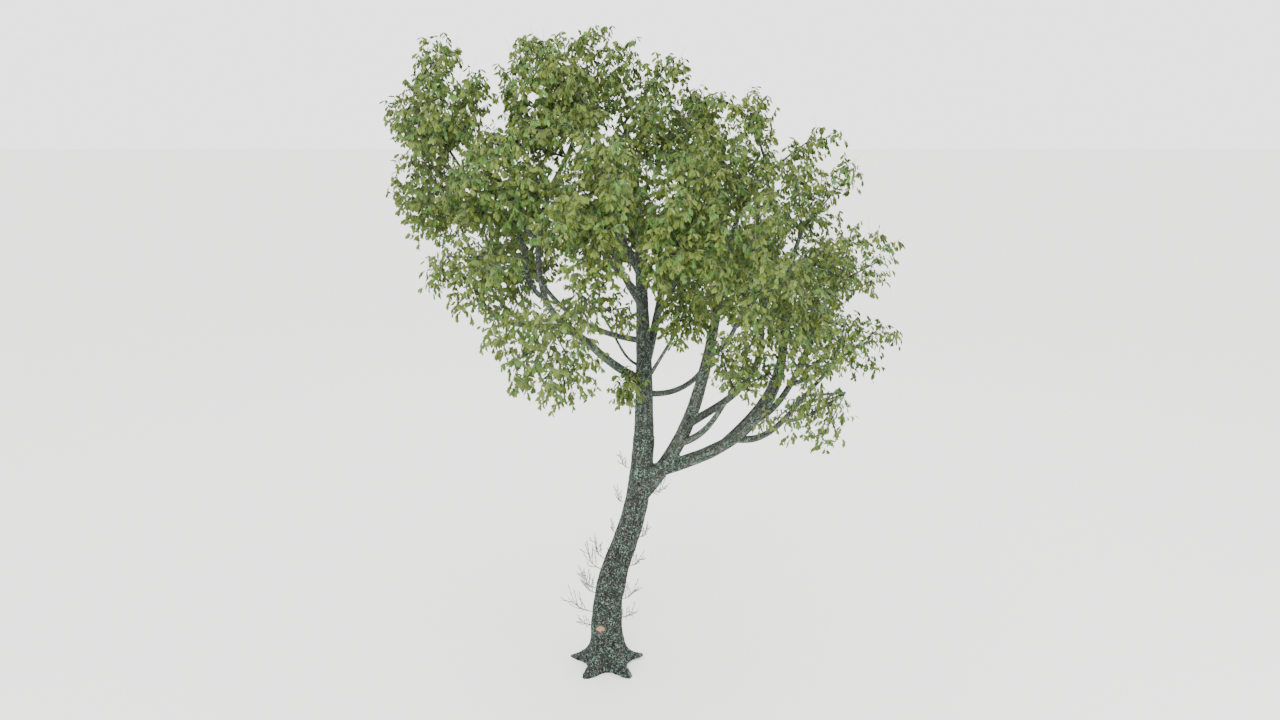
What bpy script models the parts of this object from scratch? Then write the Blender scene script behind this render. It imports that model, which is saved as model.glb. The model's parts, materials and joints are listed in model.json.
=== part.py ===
"""A red oak tree, 12 m tall: a leaning trunk with a flared root collar, its boughs, the masses of
foliage that they carry and a few bare shoots on the trunk, each as a closed solid of its own.

Lengths are in metres and angles in degrees. +Z is up, and the origin is the middle of the flat cut
under the trunk. A heading of 0 points along +X and 90 along +Y; a slope is the climb above level.
"""

import math
from collections import namedtuple
from itertools import zip_longest

import bmesh
import bpy
import numpy as np
from mathutils import Vector
from mathutils.bvhtree import BVHTree

GAP = 0.0003  # between two solids that meet
CLEAR = 0.008  # between a twig or leaf and a limb that it passes
BORDER = 0.006  # between a mass's leaves and the edge of its space
MERGE = 0.00001  # vertices this near each other are one

# Trunk and limbs
TRUNK_SIDES = 40
TRUNK_HEIGHTS = (0, 0.04, 0.1, 0.18, 0.28, 0.42, 0.62, 0.95)  # rings through the root flare
UPPER_RINGS = 7  # on the trunk, above the flare
LEVEL_HEIGHT = 0.9
RING_SPACING = 0.55
END_RING = 0.02  # from each end of a limb to a ring square to its curve
LIMB_SIDES = ((0.25, 10), (0.12, 8), (0, 6))  # for a limb thicker than the first number
SMOOTH_ANGLE = 40
COLLAR_SWELL = 0.16  # how much wider a limb is where it leaves its parent
COLLAR_LENGTH = 0.18
ROOT_HEADINGS = (-126, -54, 18, 90, 162)
ROOT_REACH = 0.34  # how far a root lobe stands out beyond the hollows between the lobes
ROOT_HEIGHT = 0.16
ROOT_HALF_WIDTH = 15
FOOT_SPREAD = 0.12  # how far the hollows between the lobes stand out beyond the trunk
FOOT_HEIGHT = 0.3

# Foliage: each leaf-shaped blade stands for one spray of leaves
SPRAY_LENGTH = 0.8
SPRAY_BREADTH = 0.7  # as a share of its length, as are the next two
SPRAY_FOLD = 0.06
SPRAY_WIDEST = 0.45
FULL_REACH = 0.75  # a mass with a smaller reach has smaller sprays
SPRAY_TURNS = 14  # ways that a blade is tried before it is left out
SHRINK = 0.03  # how much smaller it gets with each try
OUTWARD = 0.4  # how much a blade turns from its twig towards the outside of its mass
WANDER = 0.6
LEAST_RUN_ON = 0.5  # the least cosine between a twig and the blade at its end
DROOP = 0.3
LIFT = 0.15  # how much a blade's face turns up from facing outward
TILT = 0.35
SIDE_SHARES = (0.7, 0.35)  # where sprays spring from the side of each stretch of twig
HOLLOW = 0.3  # how near the middle of a mass they do so, as a share of its reach
HEART = 0.2  # how much of each end of a blade may meet other twigs
ALONG_BREADTH = 0.85  # of a spray that surrounds a stretch of twig
ALONG_WIDEST = 0.6
JOINTS_PER_SIZE = 2.3
SIZE_POWER = 0.6
NECK = 0.4  # how thick a side twig starts, as a share of its own thickness
INSET = 0.66  # how far out the twigs' joints reach, as a share of the mass's reach
TWIG_RADIUS = 0.009
TWIG_SIDES = 3
TWIG_TRIES = 4
STEM_SHARE = 0.42  # a mass's stem, as a share of the mass's least reach
STEM_STEP = 0.05  # added to its length until it ends inside the mass's space
STEM_GIRTH = 0.8  # as a share of its limb's tip
SIDE_STEM_RADIUS = 0.012
DETOUR = 0.35  # how much a new twig minds a long way round to the stem
TURN = 0.5  # how much a new twig minds a sharp turn
POOL = 900

# Bare shoots on the trunk
SHOOT_RADIUS = 0.007
SHOOT_TIP_RADIUS = 0.003
SHOOT_TWIGS = 5
SHOOT_BARE = 0.3  # the share of its way out before its first twig
SHOOT_SPREAD = 0.45  # half the width of its twigs, as a share of that way
SHOOT_RISE = 0.3  # how far its twigs lie above it, as a share of their spread
SHOOT_SEED = 100

Limb = namedtuple("Limb", "parent share tip start end thick thin handle", defaults=[0.36])
# share: where it leaves its parent's curve. start and end: (heading, slope). thick and thin: diameters.
# handle: the length of its curve's handles, as a share of the way from its foot to its tip.
LIMBS = {
    "trunk": Limb(None, 0, (0.7, 0.0, 4.66), (180, 86), (0, 88), 0.6, 0.4, 0.52),
    "leader": Limb("trunk", 1, (0.58, 0.2, 9.38), (0, 88), (107, 81), 0.38, 0.107, 0.3),
    "bough_middle": Limb(
        "trunk", 0.81, (2.26, -0.4, 8.58), (2, 46), (40, 72), 0.322, 0.105
    ),
    "bough_right": Limb(
        "trunk", 0.89, (2.87, -0.75, 5.56), (-1, 20), (-27, 58), 0.284, 0.188, 0.4
    ),
    "bough_right_upper": Limb(
        "bough_right", 1, (3.38, -0.2, 8.28), (-27, 58), (58, 48), 0.179, 0.089
    ),
    "bough_right_inner": Limb(
        "bough_right", 0.88, (4.09, -0.1, 7.51), (23, 12), (-73, 40), 0.126, 0.072
    ),
    "limb_right_reach": Limb(
        "bough_right_inner", 0.34, (4.32, 0.2, 6.14), (-5, 18), (-2, 42), 0.083, 0.056
    ),
    "bough_right_lower": Limb(
        "bough_right", 0.7, (3.62, -1.2, 6.03), (-14, -8), (-15, 51), 0.137, 0.069
    ),
    "limb_right_skirt": Limb(
        "bough_right_lower", 0.59, (3.96, -1.4, 5.86), (-46, 10), (-30, 40), 0.071, 0.052
    ),
    "bough_right_arc": Limb(
        "bough_right", 0.55, (3.48, 1.8, 6.14), (40, 27), (72, 68), 0.129, 0.08
    ),
    "limb_middle_back": Limb(
        "bough_middle", 0.33, (3.09, 1.9, 6.22), (38, 14), (80, 58), 0.157, 0.101
    ),
    "limb_middle_under": Limb(
        "bough_middle", 0.25, (2.16, -1.05, 5.77), (-36, 19), (-62, 49), 0.14, 0.079
    ),
    "limb_middle_front": Limb(
        "bough_middle", 0.6, (2.29, -1.85, 7.52), (-69, 21), (-77, 52), 0.108, 0.066
    ),
    "bough_low_left": Limb(
        "leader", 0.25, (-0.65, -1.6, 7.28), (-154, 29), (-131, 35), 0.166, 0.117
    ),
    "limb_left_upright": Limb(
        "bough_low_left", 1, (-0.76, -1.1, 9.63), (-131, 35), (44, 52), 0.108, 0.075
    ),
    "limb_left_reach": Limb(
        "bough_low_left", 0.95, (-1.94, -1.5, 7.55), (-165, 7), (148, 51), 0.084, 0.058
    ),
    "limb_far_left": Limb(
        "limb_left_reach", 0.4, (-2.5, 0.2, 8.40), (126, 2), (126, 47), 0.067, 0.054
    ),
    "limb_left_shoulder": Limb(
        "limb_left_upright", 0.24, (-1.51, -1.1, 8.90), (164, 19), (154, 42), 0.082, 0.059
    ),
    "limb_low_front": Limb(
        "bough_low_left", 0.78, (-0.66, -2.2, 7.25), (-105, 23), (-96, 10), 0.077, 0.048
    ),
    "bough_left_back": Limb("leader", 0.41, (-1.51, 1.6, 7.76), (158, 0), (135, 52), 0.11, 0.078),
    "limb_left_peak": Limb(
        "limb_left_upright", 0.59, (-2.42, -0.4, 9.70), (120, 26), (141, 46), 0.065, 0.052
    ),
    "limb_inner_left": Limb(
        "leader", 0.31, (0.06, -0.8, 7.11), (-136, 17), (-134, 54), 0.055, 0.038
    ),
    "bough_back_right": Limb(
        "leader", 0.205, (2.07, 2.5, 6.82), (39, -18), (132, 65), 0.115, 0.082, 0.4
    ),
    "coleader": Limb("leader", 0.29, (1.4, 0.7, 9.43), (32, 72), (53, 70), 0.166, 0.091),
    "limb_fork_right": Limb(
        "leader", 0.24, (1.19, -0.5, 6.70), (-76, 34), (-41, 56), 0.083, 0.053
    ),
    "bough_high_back": Limb(
        "leader", 0.56, (-0.11, 1.8, 8.16), (113, 29), (92, 33), 0.109, 0.078
    ),
    "bough_crown_peak": Limb(
        "leader", 0.65, (-0.11, 0.3, 9.99), (142, 53), (-118, 82), 0.127, 0.08
    ),
    "bough_high_front": Limb(
        "leader", 0.53, (0.18, -1.8, 8.57), (-103, 31), (-108, 49), 0.109, 0.065
    ),
    "limb_right_front": Limb(
        "coleader", 0.29, (1.29, -1.7, 8.28), (-67, 39), (-85, 39), 0.092, 0.057
    ),
}

Mass = namedtuple("Mass", "limb centre reach share", defaults=[1])
# limb: the limb that carries it, at its tip or at a share of its curve. reach: half its width, depth
# and height.
MASSES = {
    "foliage_leader_top": Mass("leader", (0.9, 0.3, 10.54), (0.94, 1.1, 1.21)),
    "foliage_right_top": Mass("bough_middle", (2.31, -0.5, 9.88), (0.94, 1.1, 1.26)),
    "foliage_right_shoulder": Mass("bough_right_upper", (3.5, 0.1, 9.31), (1.04, 1.21, 1.26)),
    "foliage_right_outer": Mass("bough_right_inner", (4.2, -0.3, 8.12), (1.12, 1.04, 0.86)),
    "foliage_right_tips": Mass("limb_right_reach", (4.68, 0.4, 6.4), (0.9, 0.93, 0.86)),
    "foliage_right_low": Mass("bough_right_lower", (3.39, -1.6, 7.16), (0.99, 1.1, 0.99)),
    "foliage_right_skirt": Mass("limb_right_skirt", (3.5, -1.6, 5.72), (1.02, 0.88, 0.64)),
    "foliage_right_back": Mass("bough_right_arc", (3.89, 2.4, 7.05), (1.21, 1.32, 1.32)),
    "foliage_middle_back": Mass("limb_middle_back", (2.91, 2.9, 7.47), (1.1, 1.32, 1.32)),
    "foliage_right_front": Mass("limb_middle_front", (2.38, -2.3, 8.22), (1.1, 1.21, 1.32)),
    "foliage_middle_under": Mass("limb_middle_under", (2.45, -1.3, 6.37), (0.72, 0.77, 1.08)),
    "foliage_crown_left": Mass("limb_left_upright", (-0.84, -1, 10.69), (0.97, 1.1, 1.34)),
    "foliage_left_low": Mass("limb_left_reach", (-1.98, -1.6, 8.07), (1.01, 1.1, 1.01)),
    "foliage_far_left": Mass("limb_far_left", (-3.14, 0.5, 9.17), (0.83, 1.21, 0.99)),
    "foliage_left_shoulder": Mass("limb_left_shoulder", (-1.7, -1.4, 9.69), (0.99, 1.1, 1.16)),
    "foliage_low_front": Mass("limb_low_front", (-0.86, -3, 7.18), (1.05, 1.04, 0.94)),
    "foliage_left_back": Mass("bough_left_back", (-1.75, 2, 8.34), (1.32, 1.32, 1.38)),
    "foliage_left_peak": Mass("limb_left_peak", (-2.72, -0.3, 10.75), (1.0, 1.12, 1.2)),
    "foliage_inner_left": Mass("limb_inner_left", (-0.05, -1.2, 7.46), (0.75, 0.72, 0.6)),
    "foliage_right_far_back": Mass("bough_back_right", (1.87, 2.9, 7.89), (1.1, 1.21, 1.43)),
    "foliage_coleader_top": Mass("coleader", (1.5, 1, 10.05), (0.88, 1.2, 1.2)),
    "foliage_fork_right": Mass("limb_fork_right", (1.34, -0.8, 7.34), (0.66, 0.72, 0.79)),
    "foliage_high_back": Mass("bough_high_back", (-0.17, 2.6, 8.65), (1.21, 1.32, 1.43)),
    "foliage_crown_peak": Mass("bough_crown_peak", (-0.22, 0.5, 11.14), (1.08, 1.21, 1.12)),
    "foliage_high_front": Mass("bough_high_front", (-0.02, -2.3, 9.17), (1.1, 1.1, 1.32)),
    "foliage_right_inner_front": Mass("limb_right_front", (1.34, -2.2, 9.00), (1.04, 1.1, 1.32)),
    "foliage_trunk_tuft": Mass("leader", (0.42, -0.55, 5.85), (0.33, 0.33, 0.37), 0.22),
}

Shoot = namedtuple("Shoot", "limb share start reach")
# start: (heading, slope). reach: how far it stands out from the middle of its limb.
SHOOTS = {
    "shoot_low_left": Shoot("trunk", 0.18, (184, 22), 0.78),
    "shoot_mid_left": Shoot("trunk", 0.39, (172, 38), 0.7),
    "shoot_fork_left": Shoot("trunk", 0.91, (178, 38), 0.5),
    "shoot_low_right": Shoot("trunk", 0.24, (-8, 26), 0.62),
}


def clear_scene():
    for obj in list(bpy.data.objects):
        bpy.data.objects.remove(obj)


def linear(srgb_hex):
    """The linear colour, with alpha, of an sRGB hex value."""
    channels = [int(srgb_hex[i : i + 2], 16) / 255 for i in (1, 3, 5)]
    return [c / 12.92 if c <= 0.04045 else ((c + 0.055) / 1.055) ** 2.4 for c in channels] + [1]


def material(name, srgb_hex, roughness):
    made = bpy.data.materials.new(name)
    made.use_nodes = True
    shader = made.node_tree.nodes["Principled BSDF"]
    shader.inputs["Base Color"].default_value = linear(srgb_hex)
    shader.inputs["Roughness"].default_value = roughness
    shader.inputs["Metallic"].default_value = 0
    made.diffuse_color = linear(srgb_hex)
    return made


def unit(vector):
    return vector / np.linalg.norm(vector)


def direction(heading, slope):
    heading, slope = math.radians(heading), math.radians(slope)
    return np.array(
        [math.cos(slope) * math.cos(heading), math.cos(slope) * math.sin(heading), math.sin(slope)]
    )


def foot_of(name):
    """Where a limb's curve starts: the trunk's at the origin, any other on its parent's curve."""
    limb = LIMBS[name]
    if limb.parent is None:
        return np.zeros(3)
    foot = curve_point(limb.parent, limb.share)
    return foot + direction(*limb.start) * GAP if limb.share == 1 else foot


def curve_point(name, share):
    """The point at a share from 0 to 1 of a limb's curve, a cubic between its foot and its tip."""
    limb = LIMBS[name]
    foot, tip = foot_of(name), np.array(limb.tip)
    handle = limb.handle * np.linalg.norm(tip - foot)
    leaving = foot + direction(*limb.start) * handle
    arriving = tip - direction(*limb.end) * handle
    rest = 1 - share
    return (
        rest**3 * foot
        + 3 * rest**2 * share * leaving
        + 3 * rest * share**2 * arriving
        + share**3 * tip
    )


def limb_shares(name):
    """Where the rings of a limb's tube lie: evenly, and closer together through the root flare."""
    if name == "trunk":
        flare = [height / LIMBS[name].tip[2] for height in TRUNK_HEIGHTS]
        return np.array([*flare[:-1], *np.linspace(flare[-1], 1, UPPER_RINGS + 1)])
    steps = np.diff([curve_point(name, share) for share in np.linspace(0, 1, 30)], axis=0)
    length = np.linalg.norm(steps, axis=1).sum()
    return np.linspace(0, 1, max(3, round(length / RING_SPACING) + 1))


def limb_radius(name, share, walked):
    limb = LIMBS[name]
    radius = (limb.thick + (limb.thin - limb.thick) * share) / 2
    if limb.parent and limb.share < 1:
        radius *= 1 + COLLAR_SWELL * math.exp(-walked / COLLAR_LENGTH)
    return radius


def root_flare(angle, height):
    """How far the foot of the trunk stands out beyond its plain taper."""
    off = min(abs((angle - heading + 180) % 360 - 180) for heading in ROOT_HEADINGS)
    lobe = ROOT_REACH * math.exp(-((off / ROOT_HALF_WIDTH) ** 2))
    return FOOT_SPREAD * math.exp(-height / FOOT_HEIGHT) + lobe * math.exp(-height / ROOT_HEIGHT)


def rings_along(points, radii, sides, flared=False, leans=()):
    """A ring of vertices round each point of a path, each turned as little as can be from the last.

    Where a lean is given, the ring's first vertex lies towards it."""
    points = np.array(points, float)
    ways = np.gradient(points, axis=0)
    ways[0], ways[-1] = points[1] - points[0], points[-1] - points[-2]
    across = np.array([1.0, 0, 0]) if abs(unit(ways[0])[0]) < 0.9 else np.array([0, 1.0, 0])
    turns = 2 * math.pi * np.arange(sides) / sides
    rings = []
    for point, way, radius, lean in zip_longest(points, ways, radii, leans):
        way = unit(way)
        across = across if lean is None else lean
        across = unit(across - way * across.dot(way))
        up = np.cross(way, across)
        reach = np.full(sides, radius)
        if flared:
            reach += [root_flare(math.degrees(turn), point[2]) for turn in turns]
        spokes = reach[:, None] * (np.outer(np.cos(turns), across) + np.outer(np.sin(turns), up))
        if flared:
            # The rings lie level on the ground, and square to the curve from LEVEL_HEIGHT up.
            spokes[:, 2] *= min(1, point[2] / LEVEL_HEIGHT)
        rings.append(point + spokes)
    return rings


def skin(rings, tip=None):
    """Vertices and faces of a closed skin over rings of vertices, ending in a tip or a flat cap."""
    sides = len(rings[0])
    vertices = [vertex for ring in rings for vertex in ring]
    faces = [tuple(reversed(range(sides)))]
    for ring in range(len(rings) - 1):
        for side in range(sides):
            a, b = ring * sides + side, ring * sides + (side + 1) % sides
            faces += [(a, b, b + sides), (a, b + sides, a + sides)]
    last = len(vertices) - sides
    if tip is None:
        faces.append(tuple(range(last, last + sides)))
    else:
        vertices.append(tip)
        faces += [(last + side, last + (side + 1) % sides, last + sides) for side in range(sides)]
    return vertices, faces


def limb_tube(name, extra=0.0):
    """A limb's tube, from inside its parent to its tip. extra is added to every radius."""
    limb = LIMBS[name]
    points = [curve_point(name, share) for share in limb_shares(name)]
    walked = np.concatenate([[0], np.cumsum(np.linalg.norm(np.diff(points, axis=0), axis=1))])
    radii = [limb_radius(name, s, w) + extra for s, w in zip(limb_shares(name), walked)]
    # The end rings lie square to the curve, so that the next solid meets the tip flat.
    ends = direction(*limb.start), direction(*limb.end)
    points[-1:-1] = [points[-1] - ends[1] * END_RING]
    radii[-1:-1] = [radii[-1]]
    if name == "trunk":
        return skin(rings_along(points, radii, TRUNK_SIDES, flared=True))
    points[1:1] = [points[0] + ends[0] * END_RING]
    radii[1:1] = [radii[0]]
    sides = next(count for least, count in LIMB_SIDES if limb.thick > least)
    return skin(rings_along(points, radii, sides))


def add_object(name, vertices, faces, finish=None, collection=None):
    mesh = bpy.data.meshes.new(name)
    mesh.from_pydata([tuple(v) for v in vertices], [], faces)
    mesh.validate()
    obj = bpy.data.objects.new(name, mesh)
    (collection or bpy.context.scene.collection).objects.link(obj)
    if finish:
        mesh.materials.append(finish)
    return obj


def rooted(owner, item):
    """The item at the top of an item's group, in a list that gives each item its owner."""
    while owner[item] != item:
        owner[item] = owner[owner[item]]
        item = owner[item]
    return item


def outer_shell(vertices, faces):
    """The largest shell of faces joined edge to edge, or None where an edge joins other than two.

    Loose scraps go, and sealed hollows, which are shells inside it.
    """
    beside = {}
    for number, face in enumerate(faces):
        for k in range(3):
            beside.setdefault(frozenset((face[k], face[k - 1])), []).append(number)
    if any(len(numbers) != 2 for numbers in beside.values()):
        return None
    owner = list(range(len(faces)))
    for first, second in beside.values():
        owner[rooted(owner, first)] = rooted(owner, second)
    shells = {}
    for number in range(len(faces)):
        shells.setdefault(rooted(owner, number), []).append(faces[number])
    return max(shells.values(), key=lambda shell: np.ptp(vertices[np.unique(shell)], axis=0).sum())


def pinched(faces):
    """Whether the faces round some vertex make more than one fan."""
    around = {}
    for face in faces:
        for k in range(3):
            around.setdefault(face[k], {})[face[k - 2]] = face[k - 1]
    for onward in around.values():
        first = here = next(iter(onward))
        steps = 0
        while steps == 0 or (here != first and steps < len(onward)):
            here = onward[here]
            steps += 1
        if steps != len(onward):
            return True
    return False


def applied(obj):
    """Replaces an object's mesh by what its modifiers make of it, as one shell of triangles.

    It returns whether that shell is clean: it touches itself nowhere, at an edge or at a corner.
    """
    graph = bpy.context.evaluated_depsgraph_get()
    shape = bmesh.new()
    shape.from_object(obj, graph)
    bmesh.ops.triangulate(shape, faces=shape.faces)
    bmesh.ops.remove_doubles(shape, verts=shape.verts, dist=MERGE)
    shape.verts.index_update()
    vertices = np.array([vertex.co for vertex in shape.verts])
    faces = [tuple(vertex.index for vertex in face.verts) for face in shape.faces]
    shape.free()
    kept = outer_shell(vertices, faces)
    clean = kept is not None and not pinched(kept)
    used, index = np.unique(kept if kept is not None else faces, return_inverse=True)
    mesh = bpy.data.meshes.new(obj.name)
    mesh.from_pydata(vertices[used].tolist(), [], index.reshape(-1, 3).tolist())
    mesh.materials.append(obj.data.materials[0])
    obj.modifiers.clear()
    obj.data = mesh
    return clean


def tree_of(vertices, faces):
    return BVHTree.FromPolygons([Vector(v) for v in vertices], faces)


def cut_by(obj, cutters):
    """Cuts an object clear of other solids, given as vertices and faces already grown by the gap."""
    helpers = []
    for number, (vertices, faces) in enumerate(cutters):
        cutter = add_object(f"{obj.name}_seat_{number}", vertices, faces)
        cutter.hide_render = True
        cutter.display_type = "WIRE"
        cut = obj.modifiers.new(f"seat_{number}", "BOOLEAN")
        cut.operation = "DIFFERENCE"
        cut.object = cutter
        helpers.append(cutter)
    applied(obj)
    for helper in helpers:
        bpy.data.objects.remove(helper)


def build_limbs(bark):
    """The trunk, then each limb cut clear of the earlier limbs that its foot runs into."""
    made = {}
    for name in LIMBS:
        vertices, faces = limb_tube(name)
        obj = add_object(name, vertices, faces, bark)
        tree = tree_of(vertices, faces)
        touched = [other for other in made if tree.overlap(made[other])]
        if LIMBS[name].parent and LIMBS[name].share == 1:
            touched = [other for other in touched if other != LIMBS[name].parent]
        if touched:
            cut_by(obj, [limb_tube(other, GAP) for other in touched])
        made[name] = tree_of(*limb_tube(name, GAP))
        shade(obj)
    return made


def shade(obj):
    obj.data.shade_smooth()
    obj.data.set_sharp_from_angle(angle=math.radians(SMOOTH_ANGLE))


def inside(name, points, margin=BORDER):
    """Whether each point lies in a mass's own space: its ellipsoid, cut flat towards each neighbour."""
    points = np.atleast_2d(points)
    mass = MASSES[name]
    centre, reach = np.array(mass.centre), np.array(mass.reach) - margin
    within = (((points - centre) / reach) ** 2).sum(1) <= 1
    own = ((points - centre) ** 2).sum(1) - np.mean(mass.reach) ** 2
    for other, neighbour in MASSES.items():
        if other == name:
            continue
        middle = np.array(neighbour.centre)
        theirs = ((points - middle) ** 2).sum(1) - np.mean(neighbour.reach) ** 2
        within &= (theirs - own) / (2 * np.linalg.norm(middle - centre)) >= margin
    return within


def joints_of(reach):
    """How many joints the twigs of a mass have."""
    return max(3, round(JOINTS_PER_SIZE * (4 / 3 * math.pi * np.prod(reach)) ** SIZE_POWER))


def spread_points(pool, count, start):
    """Evenly spread points from a pool, nearest the start first."""
    chosen, gaps = [], np.linalg.norm(pool - start, axis=1)
    for _ in range(min(count, len(pool))):
        far = int(gaps.argmax())
        chosen.append(pool[far])
        gaps = np.minimum(gaps, np.linalg.norm(pool - pool[far], axis=1))
    return sorted(chosen, key=lambda point: np.linalg.norm(point - start))


def grow_twigs(foot, head, points, passable):
    """Joins each point to the joint that keeps its way from the stem short and its turn slight.

    It returns the joints, the stem's two ends first, and the number of each one's parent.
    """
    joints, parents = [foot, head], [None, 0]
    ways = [0, np.linalg.norm(head - foot)]
    for point in points:
        costs = []
        for number in range(1, len(joints)):
            step = point - joints[number]
            came = unit(joints[number] - joints[parents[number]])
            turn = 1 - unit(step).dot(came)
            costs.append(np.linalg.norm(step) * (1 + TURN * turn) + DETOUR * ways[number])
        for choice in np.argsort(costs, kind="stable")[:TWIG_TRIES]:
            number = int(choice) + 1
            if passable(joints[number], point):
                parents.append(number)
                ways.append(ways[number] + np.linalg.norm(point - joints[number]))
                joints.append(point)
                break
    return joints, parents


def chains_of(joints, parents):
    """The twigs as chains of joints, each run on through its heaviest branch, and each joint's load."""
    load = [1] * len(joints)
    for number in range(len(joints) - 1, 0, -1):
        load[parents[number]] += load[number]
    branches = [[] for _ in joints]
    for number in range(1, len(joints)):
        branches[parents[number]].append(number)
    chains, starts = [], [[0, 1]]
    while starts:
        chain = starts.pop()
        while branches[chain[-1]]:
            onward = sorted(branches[chain[-1]], key=lambda branch: -load[branch])
            starts += [[chain[-1], side] for side in onward[1:]]
            chain.append(onward[0])
        chains.append(chain)
    return chains, load


def blade(root, tip, face, breadth, widest):
    """A spray's blade, folded along its midrib: its root, ridge, right edge, left edge and tip."""
    way = unit(tip - root)
    length = np.linalg.norm(tip - root)
    side = unit(np.cross(way, face))
    up = np.cross(side, way)
    middle = root + way * length * widest
    rise = up * length * SPRAY_FOLD / 2
    half = side * length * breadth / 2
    return np.array([root, middle + rise, middle - rise + half, middle - rise - half, tip])


def blade_solid(corners):
    """A blade on its own: the ridge runs straight from root to tip, so it needs no corner there."""
    root, _, right, left, tip = corners
    return [root, tip, right, left], [(0, 2, 1), (0, 1, 3), (0, 3, 2), (1, 2, 3)]


def place_blades(joints, parents, centre, reach, free, rng):
    """Sprays' blades by the joint and the share of the way to it where they spring.

    Share 0 is a blade that surrounds the twig, and share 1 one at its end. Each is turned until it
    lies free, or left out.
    """
    length = SPRAY_LENGTH * min(1, min(reach) / FULL_REACH)
    ends = set(range(2, len(joints))) - set(parents)
    placed = {}
    for share in (1, 0, *SIDE_SHARES):
        for number in range(2, len(joints)):
            if share == 1 and number not in ends:
                continue
            before = joints[parents[number]]
            step = joints[number] - before
            root = before + share * step
            offset = (root + step * (share == 0) / 2 - centre) / reach
            if np.linalg.norm(offset) < HOLLOW and share:
                continue
            out = unit(offset / reach)
            for attempt in range(SPRAY_TURNS):
                face = unit(out + np.array([0, 0, LIFT]) + rng.normal(0, TILT, 3))
                if share == 0:
                    corners = blade(root, joints[number], face, ALONG_BREADTH, ALONG_WIDEST)
                else:
                    way = unit(step) + OUTWARD * out + rng.normal(0, WANDER, 3)
                    way = unit(way - np.array([0, 0, DROOP]))
                    if share == 1 and way.dot(unit(step)) < LEAST_RUN_ON:
                        continue
                    size = length * rng.uniform(0.88, 1.12) * (1 - SHRINK * attempt)
                    corners = blade(root, root + way * size, face, SPRAY_BREADTH, SPRAY_WIDEST)
                if free(corners, number):
                    placed[number, share] = corners
                    break
    return placed


def lean_of(corners):
    """Which way a blade's ridge stands up from its edges."""
    return unit(corners[1] - (corners[2] + corners[3]) / 2)


def chain_skin(chain, joints, sizes, placed):
    """The skin of a chain of twigs, widened to the blades along it and drawn out into its last."""
    last = chain[-1]
    leans = []
    for place in range(len(chain)):
        keys = [(number, 0) for number in chain[max(place, 1) : place + 2]]
        keys += [(last, 1)] * (place == len(chain) - 1)
        near = [lean_of(placed[key]) for key in keys if key in placed]
        leans.append(sum(near) if near else None)
    path = [joints[number] for number in chain]
    if (last, 1) in placed:
        # The last joint's ring turns halfway towards the blade at its end.
        path.append(placed[last, 1][1:4].mean(0))
        sizes = [*sizes, TWIG_RADIUS]
    rings = []
    for number, ring in zip(chain, rings_along(path, sizes, TWIG_SIDES, leans=leans)):
        if rings and (number, 0) in placed:
            rings.append(placed[number, 0][1:4])
        rings.append(ring)
    if (last, 1) in placed:
        return skin([*rings, placed[last, 1][1:4]], placed[last, 1][4])
    return skin(rings, joints[last] + unit(joints[last] - joints[chain[-2]]) * 2 * TWIG_RADIUS)


def crossed(vertices, faces):
    """Whether a skin runs into itself."""
    tree = tree_of(vertices, faces)
    return any(not set(faces[a]) & set(faces[b]) for a, b in tree.overlap(tree))


def twig_solids(joints, parents, placed, stem_radius):
    """A skin for each chain of twigs, then the blades that spring from their sides."""
    chains, load = chains_of(joints, parents)
    radii = [max(TWIG_RADIUS, stem_radius * math.sqrt(count / load[1])) for count in load]
    radii[0] = radii[1] = stem_radius
    apart = [corners for (_, share), corners in placed.items() if 0 < share < 1]
    solids = []
    for chain in chains:
        sizes = [radii[number] for number in chain]
        sizes[0] = stem_radius if chain[0] == 0 else NECK * radii[chain[1]]
        # Where a twig turns too sharply beside a blade, its blades are solids of their own.
        for loose in ((), (1,), (0,), (0, 1)):
            kept = {key: corners for key, corners in placed.items() if key[1] not in loose}
            solid = chain_skin(chain, joints, sizes, kept)
            if not crossed(*solid):
                break
        solids.append(solid)
        apart += [placed[n, share] for n in chain[1:] for share in loose if (n, share) in placed]
    return solids + [blade_solid(corners) for corners in apart]


def fuse(name, solids, finish):
    """One solid from overlapping ones: the first is joined with a collection that holds the others."""
    others = bpy.data.collections.new(name + "_pieces")
    bpy.context.scene.collection.children.link(others)
    obj = add_object(name, *solids[0], finish)
    for number, (vertices, faces) in enumerate(solids[1:]):
        add_object(f"{name}_{number}", vertices, faces, collection=others)
    union = obj.modifiers.new("fuse", "BOOLEAN")
    union.operation = "UNION"
    union.operand_type = "COLLECTION"
    union.collection = others
    union.solver = "MANIFOLD"
    clean = applied(obj)
    for piece in list(others.objects):
        bpy.data.objects.remove(piece)
    bpy.data.collections.remove(others)
    return obj, clean


def stem_of(name):
    """The two ends of a mass's stem: at its limb's tip, or on the middle of the limb it springs from."""
    mass = MASSES[name]
    limb = LIMBS[mass.limb]
    if mass.share < 1:
        return curve_point(mass.limb, mass.share), np.array(mass.centre)
    way = direction(*limb.end)
    foot = np.array(limb.tip) + way * GAP
    length = STEM_SHARE * min(mass.reach)
    while not inside(name, foot + way * length, BORDER + stem_radius_of(name)):
        length += STEM_STEP
    return foot, foot + way * length


def stem_radius_of(name):
    mass = MASSES[name]
    return LIMBS[mass.limb].thin * STEM_GIRTH / 2 if mass.share == 1 else SIDE_STEM_RADIUS


def joined(solids):
    """Several solids as one list of vertices and one of faces."""
    vertices, faces = [], []
    for some, more in solids:
        faces += [tuple(corner + len(vertices) for corner in face) for face in more]
        vertices += list(some)
    return vertices, faces


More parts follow.
